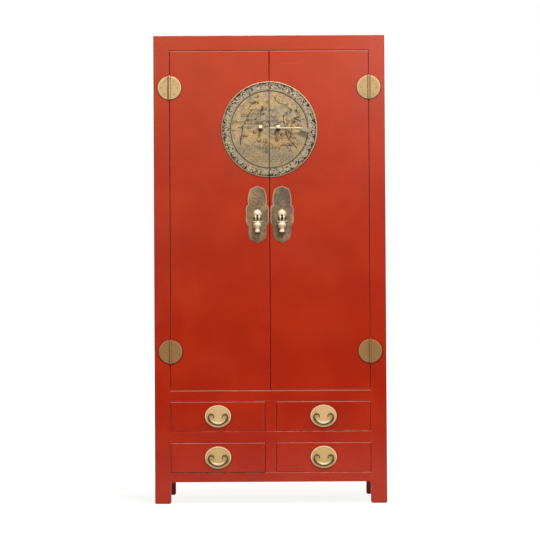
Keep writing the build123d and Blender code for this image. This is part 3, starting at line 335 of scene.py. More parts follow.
# ---------------------------------------------------------------- materials
def red_lacquer(name, low, high, steady=1.0, strength=1.0, reach=1.0, marks=(), dirt_and_shade=()):
    """Red lacquer brushed over wood in many coats and rubbed down by hand: a soft gloss,
    slightly cloudy colour, faint vertical brush marks and pale upper edges, partly rubbed
    lacquer and partly a painted highlight. steady is how unbroken the pale line is, strength
    how strong it is and reach how wide it is; marks are pale flaws and painted highlights,
    and dirt is dark wax round the fittings with painted shadow under them and painted shade
    on the outer corners, each with its strength."""
    look = bpy.context.scene.cabinet_lacquer
    material, place = start_material(name)
    clouds = add("TexNoise", {"Vector": place, "Scale": 1000 / 220, "Detail": 3.0})
    brushed = add("Mapping", {"Vector": place, "Scale": (1.0, 1.0, 0.04)})
    strokes = add("TexNoise", {"Vector": brushed, "Scale": 1000 / 6})
    thin = add("MapRange", (clouds, 0.35, 0.7))
    streaks = add("MapRange", (strokes, 0.45, 0.75))
    body = painted(look.deep_red, look.red, thin)
    body = painted(body, look.deep_red, streaks, 0.25)
    body = painted(body, look.grime_and_shade, patches(place, 3.5, 0.66, 0.74, 1.0), 0.3)
    body = painted(body, look.bare_and_highlit_edge, patches(place, 300, 0.45, 0.75), 0.035)

    # The pale line along each upper edge below is partly rubbed lacquer and partly a painted
    # highlight.
    patch = patches(place, 50, 0.48, 0.58, 3.0, 0.7)
    upper = past(place, "Z", high.z - 6 * MM, high.z - 4 * MM)
    exposed = together("MULTIPLY", together("MAXIMUM", patch, steady), upper)
    exposed = together("MULTIPLY", together("MAXIMUM", exposed, 0.06), strength)
    width = look.wear_and_highlight_width * reach
    ragged = add("TexNoise", {"Vector": place, "Scale": 1000 / 20, "Detail": 3.0})
    ragged = add("MULTIPLY_ADD", (ragged, 0.8 * width, 0.6 * width))
    distance = edge_distance(place, low, high)
    rubbed = add("MapRange", (distance, ragged, 1.5 * MM))
    rubbed = together("MULTIPLY", rubbed, exposed)
    core = add("MapRange", (distance, 2.4 * MM, 1.2 * MM))
    body = painted(body, look.worn_and_highlit_red, rubbed, 0.9)
    body = painted(body, look.bare_and_highlit_edge, core, patch, exposed)
    # Pale flaws and painted highlights, then wax with painted shadow and painted shade.
    for colour, shapes in ((look.bare_and_highlit_edge, marks), (look.grime_and_shade, dirt_and_shade)):
        for shape, amount in shapes:
            body = painted(body, colour, shape(place), amount)

    rough = add("MULTIPLY_ADD", (clouds, 0.08, look.roughness))
    rough = add("MULTIPLY_ADD", (rubbed, 0.45, rough))
    wave = add("TexNoise", {"Vector": place, "Scale": 1000 / 30})
    height = together("MULTIPLY", wave, 0.6)
    height = add("MULTIPLY_ADD", (strokes, 0.25, height))
    bump = add("Bump", {"Height": height, "Strength": 0.12, "Distance": MM})
    finish_material(Base_Color=body, Roughness=rough, Normal=bump, IOR=1.5)
    return material


def bare_wood(name, along):
    """Planed elm left bare inside: brown early wood with darker lines, a little open grain.
    along is the axis that the grain follows."""
    material, place = start_material(name)
    scale = [0.06 if axis == along else 1.0 for axis in "XYZ"]
    grain = add("Mapping", {"Vector": place, "Scale": scale})
    wander = add("TexNoise", {"Vector": grain, "Scale": 1000 / 50, "Detail": 3.0})
    inputs = {"Vector": grain, "Scale": 1000 / 6, "Detail": 4.0, "Roughness": 0.65}
    lines = add("TexNoise", inputs)
    pores = add("TexNoise", {"Vector": grain, "Scale": 1000 / 1.6})
    late = add("MapRange", (lines, 0.5, 0.68))
    body = painted(painted("8E6238", "B08252", wander), "6B4526", late)
    body = painted(body, "4C2F1A", add("MapRange", (pores, 0.6, 0.7)), 0.5)
    height = add("MULTIPLY_ADD", (pores, 0.5, lines))
    bump = add("Bump", {"Height": height, "Strength": 0.2, "Distance": 0.6 * MM})
    rough = add("MULTIPLY_ADD", (wander, 0.2, 0.55))
    finish_material(Base_Color=body, Roughness=rough, Normal=bump)
    return material


def brushed_brass(name, tint, roughness, dull, metallic, places=()):
    """Sheet and cast brass brushed and handled: fine brush lines and a thin brown film.
    dull is how much film there is; places are parts with a colour of their own, such as a
    painted highlight on a rim, painted shade in a slot or under a casting, or gathered dust,
    each with its colour and the roughness that it adds."""
    material, place = start_material(name)
    brushed = add("Mapping", {"Vector": place, "Scale": (0.06, 1.0, 1.0)})
    lines = add("TexNoise", {"Vector": brushed, "Scale": 1000 / 1.2})
    film = add("TexNoise", {"Vector": place, "Scale": 1000 / 20, "Detail": 3.0})
    tint = hex_colour(tint) if isinstance(tint, str) else tint
    deep = add("MapRange", (lines, 0.3, 0.7))
    body = painted(tint, (*(c * 0.86 for c in tint[:3]), 1.0), deep)
    body = painted(body, "8A6234", add("MapRange", (film, 0.45, 0.75)), dull)
    body = painted(body, "5E4022", patches(place, 4, 0.62, 0.72), dull)
    rough = add("MULTIPLY_ADD", (film, 0.16, roughness))
    for shape, colour, roughened in places:
        shown = shape(place)
        body = painted(body, colour, shown)
        rough = add("MULTIPLY_ADD", (shown, roughened, rough))
    bump = add("Bump", {"Height": lines, "Strength": 0.08, "Distance": 0.3 * MM})
    finish_material(Base_Color=body, Roughness=rough, Normal=bump, Metallic=metallic)
    return material


def aged_brass(name, tint, shade, amount, metallic, blush=None, stains_and_shade=()):
    """Engraved brass plate gone matt: warm metal under a grey-brown film that gathers in spots.
    blush is a third colour, for patches where the film is thin; the last list holds the places
    where the film is thick and those with painted shade or shadow, each with its colour."""
    material, place = start_material(name)
    patina = bpy.context.scene.cabinet_brass.patina
    inputs = {"Vector": place, "Scale": 1000 / 9, "Detail": 4.0, "Roughness": 0.65}
    mottle = add("TexNoise", inputs)
    grain = add("TexNoise", {"Vector": place, "Scale": 1000 / 2.8})
    body = painted(tint, shade, patches(place, 50, 0.35, 0.65, 4.0, 0.6))
    if blush:
        body = painted(body, blush, patches(place, 20, 0.5, 0.6, 3.0), 0.6)
    # Some of these places are painted shade or painted shadow, not film.
    for shape, colour in stains_and_shade:
        body = painted(body, colour, shape(place))
    spots = add("MapRange", (mottle, 0.5, 0.68))
    specks = add("MapRange", (grain, 0.56, 0.7))
    body = painted(body, patina, spots, amount)
    body = painted(body, patina, specks, 0.6 * amount)
    rough = add("MULTIPLY_ADD", (mottle, 0.3, 0.42))
    height = add("MULTIPLY_ADD", (grain, 0.5, mottle))
    bump = add("Bump", {"Height": height, "Strength": 0.25, "Distance": 0.5 * MM})
    finish_material(Base_Color=body, Roughness=rough, Normal=bump, Metallic=metallic)
    return material


def dark_patina(name, tint):
    """Old oxide and wax packed in engraved lines: nearly black brown, quite matt."""
    material, place = start_material(name)
    worn = (*(c * 1.9 for c in hex_colour(tint)[:3]), 1.0)
    body = painted(tint, worn, patches(place, 4, 0.4, 0.7, 3.0))
    finish_material(Base_Color=body, Roughness=0.7, Metallic=0.3)
    return material


# ---------------------------------------------------------------- building pieces
def wear(node, material):
    """Gives a carried-over node its finish."""
    for slot in NODES[node].material_slots:
        slot.material = material


def show(name, bm, material, body, smooth=True):
    """Puts a finished bmesh in the scene, with merged doubles and outward faces, on its body."""
    bmesh.ops.remove_doubles(bm, verts=bm.verts[:], dist=TOUCHING)
    bmesh.ops.recalc_face_normals(bm, faces=bm.faces[:])
    mesh = bpy.data.meshes.new(name)
    bm.to_mesh(mesh)
    bm.free()
    mesh.materials.append(material)
    if smooth:
        mesh.shade_smooth()
        mesh.set_sharp_from_angle(angle=SHARP)
    piece = bpy.data.objects.new(name, mesh)
    bpy.context.scene.collection.objects.link(piece)
    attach(piece, body)


def relief(name, strokes, middle, face_y, height, sunk=0.1 * MM):
    """Raised or inlaid lines on a front face: strokes about a middle, as one bmesh of
    flattened tapering tubes whose tops stand height proud of face_y."""
    curve = bpy.data.curves.new(name, "CURVE")
    curve.dimensions = "3D"
    curve.bevel_depth = 1.0
    curve.bevel_resolution = 1
    curve.use_fill_caps = True
    for stroke in strokes:
        spline = curve.splines.new("POLY")
        spline.points.add(len(stroke) - 1)
        for point, (x, z, half) in zip(spline.points, stroke):
            point.co = (middle.x + x * MM, 0.0, middle.z + z * MM, 1.0)
            point.radius = half * MM
    holder = bpy.data.objects.new(name, curve)
    bpy.context.scene.collection.objects.link(holder)
    bpy.context.view_layer.update()
    graph = bpy.context.evaluated_depsgraph_get()
    mesh = bpy.data.meshes.new_from_object(holder.evaluated_get(graph))
    bpy.data.objects.remove(holder)
    bpy.data.curves.remove(curve)
    squeeze = (height + sunk) / max(abs(v.co.y) for v in mesh.vertices)
    mesh.transform(Matrix.Translation((0, face_y, 0)) @ Matrix.Diagonal((1, squeeze, 1, 1)))
    bm = bmesh.new()
    bm.from_mesh(mesh)
    bpy.data.meshes.remove(mesh)
    return bm


def halves(bm):
    """The left and right part of a bmesh, cut at the doors' meeting edges and closed."""
    gap = node_box("door_right_frame")[0].x
    for side, sign in SIDES.items():
        part = bm.copy()
        cut = bmesh.ops.bisect_plane(
            part, geom=part.verts[:] + part.edges[:] + part.faces[:], clear_outer=True,
            plane_co=(sign * gap, 0, 0), plane_no=(-sign, 0, 0), dist=TOUCHING,
        )
        edges = [e for e in cut["geom_cut"] if isinstance(e, bmesh.types.BMEdge) and e.is_boundary]
        if edges:
            bmesh.ops.holes_fill(part, edges=edges, sides=0)
        yield side, part
    bm.free()


def flat_ring(centre, inner, outer, top, foot, steps=160):
    """A thin flat ring on a front face, spun about centre. top and foot are how far its two
    faces stand proud of the centre."""
    bm = bmesh.new()
    profile = [(inner, top), (outer, top), (outer, foot), (inner, foot), (inner, top)]
    axis = Vector((0, -1, 0))
    across = axis.orthogonal().normalized()
    verts = [bm.verts.new(centre + across * radius + axis * proud) for radius, proud in profile]
    edges = [bm.edges.new(pair) for pair in zip(verts, verts[1:])]
    bmesh.ops.spin(
        bm, geom=verts + edges, cent=centre, axis=axis, angle=math.tau, steps=steps,
        use_merge=True, use_duplicate=False,
    )
    bmesh.ops.remove_doubles(bm, verts=bm.verts[:], dist=TOUCHING)
    return bm


def inset_band(node, near, far, face_y, lift):
    """A thin band that follows a plate's outline, from near to far inside its edge."""
    bm = bmesh.new()
    bm.from_mesh(NODES[node].data)
    other = [
        f for f in bm.faces
        if f.normal.y > -0.9 or abs(f.calc_center_median().y - face_y) > 0.1 * MM
    ]
    bmesh.ops.delete(bm, geom=other, context="FACES")
    bmesh.ops.remove_doubles(bm, verts=bm.verts[:], dist=1e-6)
    bmesh.ops.dissolve_limit(bm, angle_limit=math.radians(1), verts=bm.verts[:], edges=bm.edges[:])
    inset = {"faces": bm.faces[:], "use_boundary": True, "use_even_offset": True}
    bmesh.ops.inset_region(bm, thickness=near, **inset)
    band = bmesh.ops.inset_region(bm, thickness=far - near, **inset)
    kept = set(band["faces"])
    bmesh.ops.delete(bm, geom=[f for f in bm.faces if f not in kept], context="FACES")
    top = bmesh.ops.extrude_face_region(bm, geom=bm.faces[:])
    moved = [v for v in top["geom"] if isinstance(v, bmesh.types.BMVert)]
    bmesh.ops.translate(bm, verts=moved, vec=(0, -lift, 0))
    return bm


# ---------------------------------------------------------------- ornament, as strokes
# A stroke is a list of (x, z, half width), in millimetres from the ornament's own middle.
def polar(x, z, angle, reach):
    """The point that lies in a direction from another."""
    return x + reach * math.cos(angle), z + reach * math.sin(angle)


def oval_stroke(x, z, wide, tall, half, steps, start=0.0, end=math.tau):
    """A circle or an ellipse, or part of one, as one stroke of even width."""
    angles = [start + (end - start) * i / steps for i in range(steps + 1)]
    return [(x + wide * math.cos(a), z + tall * math.sin(a), half) for a in angles]


def leaf_stroke(x, z, angle, length, half, bend=0.0):
    """A leaf or petal: a stroke that swells and comes to a point."""
    shares = ((0, 0.15), (0.25, 0.8), (0.5, 1.0), (0.75, 0.7), (1, 0.05))
    return [(*polar(x, z, angle + bend * t, length * t), half * share) for t, share in shares]


def blossom(x, z, size, turn, petals=5):
    """A blossom seen from the front: petals round an eye."""
    strokes = []
    for i in range(petals):
        a = turn + math.tau * i / petals
        strokes.append(leaf_stroke(*polar(x, z, a, 0.22 * size), a, 0.78 * size, 0.27 * size))
    return strokes + [[(x + side * 0.02 * size, z, 0.16 * size) for side in (-1, 1)]]


def scroll(x, z, size, angle, turn, half):
    """A cloud curl: a spiral that closes on its own centre."""
    steps, turns = 14, 1.4
    stroke = []
    for i in range(steps + 1):
        t = i / steps
        point = polar(x, z, angle + turn * math.tau * turns * t, size * (1 - 0.82 * t))
        stroke.append((*point, half * (1 - 0.45 * t)))
    return stroke


def vine_ring(rng, radius, swing, waves):
    """A flowering vine that winds round a border ring."""
    steps = waves * 14
    turns = [math.tau * i / steps for i in range(steps + 1)]
    strokes = [[(*polar(0, 0, a, radius + swing * math.sin(waves * a)), 1.0) for a in turns]]
    for wave in range(2 * waves):
        a = math.tau * (wave + 0.5) / (2 * waves)
        inner = 1 if wave % 2 else -1
        x, z = polar(0, 0, a, radius + inner * swing * 0.35)
        if wave % 4 == 0:
            strokes += blossom(x, z, 9.5, a)
        elif wave % 4 == 2:
            strokes += blossom(x, z, 7.5, a + 0.5, 6)
        else:
            strokes.append(scroll(x, z, 6.5, a, inner, 1.0))
        for _ in range(7):
            reach = rng.uniform(6.5, 12)
            out = a + rng.uniform(-0.09, 0.09)
            x, z = polar(0, 0, out, radius + rng.uniform(-0.8, 0.8) * swing)
            strokes.append(leaf_stroke(
                x, z, rng.uniform(0, math.tau), reach, rng.uniform(1.4, 2.3),
                rng.uniform(-0.6, 0.6),
            ))
    return strokes


def branch(rng, x, z, angle, length, half, depth, flowers):
    """A gnarled blossoming branch that forks as it goes."""
    strokes = []
    stroke = []
    steps = 6
    for i in range(steps + 1):
        stroke.append((x, z, half * (1 - 0.45 * i / steps)))
        if i < steps:
            angle += rng.uniform(-0.42, 0.42)
            x, z = polar(x, z, angle, length / steps)
            if depth and i in (1, 3, 4):
                side = rng.choice((-1, 1))
                strokes += branch(
                    rng, x, z, angle + side * rng.uniform(0.6, 1.1), length * 0.52, half * 0.55,
                    depth - 1, flowers,
                )
            elif rng.random() < 0.5:
                flowers.append((x + rng.uniform(-3, 3), z + rng.uniform(-3, 3)))
    flowers.append((x, z))
    return strokes + [stroke]


def cloud(rng, x, z, size):
    """A bank of cloud curls over a flat trailing line."""
    strokes = []
    for step, turn in ((-1, 1), (0, -1), (1, 1)):
        strokes.append(scroll(
            x + step * size * 0.9, z + rng.uniform(-0.2, 0.2) * size, size * 0.5,
            rng.uniform(0, 1) * math.pi, turn, 0.75,
        ))
    strokes.append([
        (x - 1.9 * size, z - 0.62 * size, 0.3), (x, z - 0.5 * size, 0.9),
        (x + 1.9 * size, z - 0.68 * size, 0.3),
    ])
    return strokes


def rocks(rng, x, z, width, height):
    """A garden rock: a jagged outline and a few strokes of shade."""
    outline = []
    count = 9
    for i in range(count + 1):
        t = i / count
        top = height * math.sin(math.pi * t) * rng.uniform(0.6, 1.1)
        outline.append((x + (t - 0.5) * width, z + max(top, 0.0), 0.9))
    strokes = [outline]
    for _ in range(7):
        sx = x + rng.uniform(-0.36, 0.36) * width
        sz = z + rng.uniform(0.05, 0.5) * height
        strokes.append([
            (sx, sz, 0.3), (sx + rng.uniform(2, 5), sz + rng.uniform(3, 8), 1.1),
            (sx + rng.uniform(4, 9), sz + rng.uniform(0, 5), 0.3),
        ])
    return strokes


def water(x0, x1, z, rows):
    """Rows of short wave arcs."""
    ends = math.radians(35), math.radians(145)
    return [
        oval_stroke(x, z - 7 * row, 8, 8, 0.6, 6, *ends)
        for row in range(rows) for x in range(x0 + row % 2 * 9, x1, 18)
    ]


def grass(rng, x, z, count, reach):
    """A tuft of blades that lean apart."""
    return [
        leaf_stroke(
            x + rng.uniform(-5, 5), z, math.pi / 2 + rng.uniform(-0.9, 0.9),
            rng.uniform(0.5, 1.0) * reach, 1.1, rng.uniform(-0.5, 0.5),
        )
        for _ in range(count)
    ]


def thicket(rng, x, z, reach, count):
    """Loose leaves and twigs scattered about a place."""
    strokes = []
    for _ in range(count):
        a, r = rng.uniform(0, math.tau), reach * math.sqrt(rng.random())
        strokes.append(leaf_stroke(
            x + r * math.cos(a), z + 0.7 * r * math.sin(a), rng.uniform(0, math.tau),
            rng.uniform(4, 12), rng.uniform(0.7, 1.7), rng.uniform(-1, 1),
        ))
    return strokes


def placed(shapes, x, z, size, half):
    """Strokes given in shares of a size, put at a place with one half width."""
    return [[(x + u * size, z + v * size, half) for u, v in shape] for shape in shapes]


def pavilion(x, z, size):
    """An open garden pavilion: upturned eaves, tiled roof, columns and a low lattice."""
    bold = [
        [(-0.66, 0.66), (-0.5, 0.56), (0.0, 0.6), (0.5, 0.56), (0.66, 0.66)],
        [(-0.34, 0.92), (-0.26, 0.84), (0.0, 0.86), (0.26, 0.84), (0.34, 0.92)],
        [(-0.26, 0.84), (-0.42, 0.7), (-0.5, 0.56)], [(0.26, 0.84), (0.42, 0.7), (0.5, 0.56)],
        [(-0.56, 0.0), (0.56, 0.0)],
    ]
    fine = [[(0.2 * u, 0.85), (0.38 * u, 0.58)] for u in (-1, -0.66, -0.33, 0, 0.33, 0.66, 1)]
    fine += [[(u, 0.0), (u, 0.57)] for u in (-0.42, -0.15, 0.15, 0.42)]
    fine += [[(-0.42, v), (-0.15, v)] for v in (0.12, 0.24)] + [[(-0.6, -0.06), (0.6, -0.06)]]
    fine += [[(0.15, v), (0.42, v)] for v in (0.12, 0.24)] + [[(-0.42, 0.46), (0.42, 0.46)]]
    fine += [[(u, 0.12), (u, 0.24)] for u in (-0.33, -0.24, 0.24, 0.33)]
    return placed(bold, x, z, size, 1.0) + placed(fine, x, z, size, 0.55)


def fence(x0, x1, z, height):
    """A garden fence of posts, rails and crossed slats."""
    low, high = z + 0.3 * height, z + 0.9 * height
    strokes = [[(x0, rail, 0.6), (x1, rail, 0.6)] for rail in (low, high)]
    count = max(1, round((x1 - x0) / (1.1 * height)))
    for i in range(count + 1):
        x = x0 + (x1 - x0) * i / count
        strokes.append([(x, z, 0.9), (x, z + 1.1 * height, 0.9)])
        if i < count:
            far = x + (x1 - x0) / count
            strokes += [[(x, low, 0.45), (far, high, 0.45)], [(far, low, 0.45), (x, high, 0.45)]]
    return strokes


def bird(x, z, size):
    """A flying bird: two bent wings and a tail."""
    shapes = [
        [(-1.0, 0.5), (-0.45, 0.45), (0.0, 0.0)], [(0.0, 0.0), (0.35, 0.7), (0.9, 0.75)],
        [(0.1, 0.05), (0.6, -0.25)],
    ]
    return placed(shapes, x, z, size, 0.9)


def inside(strokes, wide, tall):
    """Keeps the strokes that stay within an ellipse about the middle."""
    return [s for s in strokes if all(math.hypot(x / wide, z / tall) < 1 for x, z, _ in s)]


# ---------------------------------------------------------------- lacquered and bare wood
# how unbroken the pale line along each piece's upper edge is, a line of rubbed lacquer and painted
# highlight
LACQUERED = {
    "post_front_left": 0.1, "post_front_right": 0.1, "post_back_left": 0.1, "post_back_right": 0.1,
    "top_rail_front": 0.1, "top_rail_back": 0.1, "top_rails_side": 0.1, "top_panel": 0.0,
    "rail_under_doors": 1.0, "rail_between_drawers": 0.15, "rail_bottom": 0.4, "muntins": 0.0,
    "side_panels_left": 0.0, "side_panels_right": 0.0, "side_rails_left": 0.1,
    "side_rails_right": 0.1,
}
# the axis that each bare piece's grain follows
BARE = {
    "back_panels": "Z", "back_rails": "X", "floor_panel": "X", "shelves": "X",
    "shelf_bearers": "Y", "drawer_runners": "Y",
}


class CABINET_OT_lacquer(bpy.types.Operator):
    """Lacquer the carcass, the doors and the drawer fronts"""

    bl_idname = "cabinet.lacquer"
    bl_label = "Lacquer"

    def execute(self, context):
        hinges = list(self.hinge_wax_and_shadow())
        for node, steady in LACQUERED.items():
            strength = 0.25 if node == "rail_between_drawers" else 1.0
            reach = 1.6 if node == "rail_under_doors" else 1.0
            marks = [(hairline, 0.12)] if "front" in node else ()
            # Painted shade on the front posts' outer corners, with wax and painted shadow round the
            # hinges.
            dirt_and_shade = hinges + [(outer_edge_shade, 0.5)] if "post_front" in node else ()
            name = "red_lacquer_" + node
            box = node_box(node)
            wear(node, red_lacquer(name, *box, steady, strength, reach, marks, dirt_and_shade))
        # Wax and painted shadow under the lock plate.
        lock = wax_and_shadow_round(LOCK_CENTRE, Vector((LOCK_RADIUS, 0, LOCK_RADIUS)))
        for side in SIDES:
            # A painted highlight along the doors' upper edge, and a scratch on the right door.
            marks = [(door_top_highlight, 0.7)] + ([(scratch, 0.25)] if side == "right" else [])
            door = red_lacquer(
                "red_lacquer_door_" + side, *node_box("door_%s_frame" % side), strength=1.7,
                marks=marks, dirt_and_shade=hinges + [(lock, 0.6)],
            )
            wear("door_%s_frame" % side, door)
            wear("door_%s_panel" % side, door)
        for drawer in DRAWERS:
            node = "drawer_%s_front" % drawer
            # Wax and painted shadow under each oval plate.
            dirt_and_shade = [(wax_and_shadow_round(*node_round("drawer_%s_pull_plate" % drawer)), 0.85)]
            wear(node, red_lacquer("red_lacquer_" + node, *node_box(node), dirt_and_shade=dirt_and_shade))
        return {"FINISHED"}

    def hinge_wax_and_shadow(self):
        """Dirt and painted shadow round the four hinges, and painted deep shade under their
        barrels.
        """
        for centre, half in hinge_rounds():
            foot = centre - Vector((0, 0, half.z))
            yield wax_and_shadow_round(centre, half, 7.5 * MM), 0.95
            yield wax_and_shadow_round(foot, Vector((4.5 * MM, 0, 3 * MM))), 0.9


class CABINET_OT_bare_wood(bpy.types.Operator):
    """Leave the inside of the cabinet and the drawer boxes in bare wood"""

    bl_idname = "cabinet.bare_wood"
    bl_label = "Bare wood"

    def execute(self, context):
        grains = {along: bare_wood("bare_elm_" + along.lower(), along) for along in "XYZ"}
        for node, along in BARE.items():
            wear(node, grains[along])
        for side in SIDES:
            wear("door_%s_battens" % side, grains["X"])
        for drawer in DRAWERS:
            wear("drawer_%s_box" % drawer, grains["Y"])
        return {"FINISHED"}


# ---------------------------------------------------------------- lock
class CABINET_OT_lock_plate(bpy.types.Operator):
    """Engrave the round lock plate: a flowering border round a garden field"""

    bl_idname = "cabinet.lock_plate"
    bl_label = "Lock plate"

    def execute(self, context):
        brass = context.scene.cabinet_brass
        rng = random.Random(brass.seed)
        outer, inner = LOCK_RADIUS / MM, FIELD_RADIUS / MM
        border = vine_ring(rng, (outer + inner) / 2, (outer - inner) / 2 - 8, 18)
        lines = inside(self.garden(rng), inner - 4, inner - 4)
        foliage = inside(self.foliage(rng), inner - 5, inner - 5)
        ring = [oval_stroke(0, 0, inner, inner, 2.0, 120)]
        rim = [oval_stroke(0, 0, outer - 2.2, outer - 2.2, 1.4, 160)]
        raised = aged_brass("aged_brass_border", "D4C4AC", "AEA090", 0.35, 0.4)
        ink = dark_patina("patina_lines", "463628")
        faded = dark_patina("patina_foliage", "7A6660")
        carved = {
            "border_vine": (border, LOCK_FACE - 0.3 * MM, 0.7 * MM, 0.1 * MM, raised),
            "field_lines": (lines, LOCK_FACE, 0.22 * MM, 0.1 * MM, ink),
            "field_foliage": (foliage, LOCK_FACE, 0.16 * MM, 0.1 * MM, faded),
            "field_ring": (ring, LOCK_FACE - 0.7 * MM, 0.3 * MM, 0.1 * MM, ink),
            # A pale rim painted as the plate's highlight, shaded towards the lower left.
            "rim": (rim, LOCK_LOW.y, 0.15 * MM, 0.6 * MM, self.rim_highlight_and_shade()),
        }
        face = Vector((LOCK_CENTRE.x, LOCK_FACE, LOCK_CENTRE.z))
        reach = FIELD_RADIUS + 2.5 * MM, LOCK_RADIUS - LOCK_RIM
        ground = flat_ring(face, *reach, 0.3 * MM, -0.1 * MM)
        pieces = {"border_ground": (ground, self.border_ground())}
        for name, (strokes, *depths, material) in carved.items():
            pieces[name] = (relief(name, strokes, LOCK_CENTRE, *depths), material)
        for name, (bm, material) in pieces.items():
            for side, part in halves(bm):
                show("lock_%s_%s" % (name, side), part, material, "door_" + side)
        field = self.field_brass(brass)
        for side in SIDES:
            wear("door_%s_lock_plate" % side, field)
        return {"FINISHED"}

    def field_brass(self, brass):
        """The engraved field: aged brass, darker towards the bottom of the plate."""

        def lower_part(place):
            low = past(place, "Z", LOCK_CENTRE.z - 10 * MM, LOCK_CENTRE.z - 110 * MM)
            return together("MULTIPLY", low, 0.4)

        return aged_brass(
            "aged_brass_field", brass.aged, "A89E88", 0.45, 0.4, "9A8A88",
            [(lower_part, "867866")],
        )

    def rim_highlight_and_shade(self):
        """The raised rim: pale brushed brass as a painted highlight, with painted shade towards its
        lower left.
        """

        # Painted shade, darkest towards the lower left of the rim.
        def foot(place):
            x, _, z = add("SeparateXYZ", (place,), None)
            slant = add("MULTIPLY_ADD", (x, 0.7, z))
            ends = LOCK_CENTRE.z + 90 * MM, LOCK_CENTRE.z - 60 * MM
            return together("MULTIPLY", add("MapRange", (slant, *ends)), 0.55)

        return brushed_brass("brushed_brass_rim_highlight", "E6C0A6", 0.4, 0.1, 0.5, [(foot, "6E5C44", 0.3)])

    def border_ground(self):
        """Patina in the border's ground: a grey-brown film, black and crusted near the rim."""
        material, place = start_material("patina_border")
        radius = round_size(place, LOCK_CENTRE, Vector((1, 0, 1)))
        ends = FIELD_RADIUS, LOCK_RADIUS - LOCK_RIM
        outward = add("MapRange", (radius, *ends))
        inputs = {"Vector": place, "Scale": 1000 / 7.5, "Detail": 3.0, "Roughness": 0.6}
        lumps = add("TexNoise", inputs)
        crust = add("MULTIPLY_ADD", (outward, 0.16, lumps))
        black = add("MapRange", (crust, 0.58, 0.63))
        body = painted("B4A48E", "887C6E", patches(place, 4, 0.35, 0.7, 3.0))
        body = painted(body, "24231F", black)
        finish_material(Base_Color=body, Roughness=0.6, Metallic=0.4)
        return material

    def garden(self, rng):
        """A garden by the water: pavilions, blossoming branches, clouds, rocks and birds."""
        flowers = []
        strokes = branch(rng, -118, -62, 1.15, 150, 2.6, 2, flowers)
        strokes += branch(rng, 112, -78, 1.9, 150, 2.6, 2, flowers)
        strokes += branch(rng, 20, 128, -0.6, 90, 1.6, 1, flowers)
        for x, z in flowers:
            strokes += blossom(x, z, rng.uniform(4.0, 6.5), rng.uniform(0, 1))
        for place in (
            (-62, 112, 13), (62, 96, 12), (-20, 82, 10), (18, 52, 11), (-98, 58, 11), (108, 34, 11),
            (-34, 30, 9), (74, -8, 9), (-84, 8, 9),
        ):
            strokes += cloud(rng, *place)
        for place in ((-70, -88, 70, 34), (62, -96, 64, 38), (-4, -74, 46, 26), (96, -46, 34, 22)):
            strokes += rocks(rng, *place)
        strokes += water(-92, 92, -116, 4)
        strokes += pavilion(-62, 24, 66) + pavilion(72, -66, 50)
        for place in ((-148, -98, 22), (-26, 34, 26), (100, 146, -66), (-40, 40, -84)):
            strokes += fence(*place, 13)
        for place in ((-6, 112, 9), (26, 126, 7), (84, 66, 9), (-108, 92, 8), (6, -34, 8)):
            strokes += bird(*place)
        for place in ((-20, -58), (18, -44), (-120, 0), (120, 8), (52, 22), (6, 70)):
            strokes += rocks(rng, *place, 26, 12)
        for place in (
            (-44, -54), (-100, -34), (30, -52), (84, -70), (-12, -100), (46, -30), (-60, -20),
        ):
            strokes += grass(rng, *place, 9, 22)
        return strokes

    def foliage(self, rng):
        """Thickets all over the garden, closer together low on the right."""
        strokes = []
        for i in range(34):
            x, z = polar(0, 0, 2.4 * i, 136 * math.sqrt((i + 0.5) / 34))
            strokes += thicket(rng, x, z, 17, rng.randint(3, 13) + (7 if x > z else 0))
        return strokes


class CABINET_OT_lock_bar(bpy.types.Operator):
    """Give the lock's eyes and bar their finish"""

    bl_idname = "cabinet.lock_bar"
    bl_label = "Lock eyes and bar"

    def execute(self, context):
        middle = node_round("door_right_lock_eye")[0].z

        def foot(place):
            return past(place, "Y", LOCK_FACE - 2.8 * MM, LOCK_FACE - 2.4 * MM)

        # Painted shade: the eyes dark brown below their middle.
        def shaded_underside(place):
            return past(place, "Z", middle + 4 * MM, middle - 6 * MM)

        cream = brushed_brass(
            "polished_brass_eyes", "F2DFC0", 0.34, 0.1, 0.6,
            [(foot, "A89882", 0.0), (shaded_underside, "6A401C", 0.3)],
        )
        for side in SIDES:
            wear("door_%s_lock_eye" % side, cream)
        wear("lock_bar", self.white_brass())
        return {"FINISHED"}

    def white_brass(self):
        """Pale white brass, rubbed silvery, with a greener film on the leaf-shaped head."""
        tip = node_box("lock_bar")[1].x
        material, place = start_material("white_brass_bar")
        film = patches(place, 6, 0.35, 0.65, 3.0)
        body = painted("C6BEAA", "948264", film, 0.3)
        leaf = past(place, "X", tip - 38 * MM, tip - 28 * MM)
        body = painted(body, painted("B8B09E", "8A8272", film), leaf)
        finish_material(Base_Color=body, Roughness=0.4, Metallic=0.5)
        return material


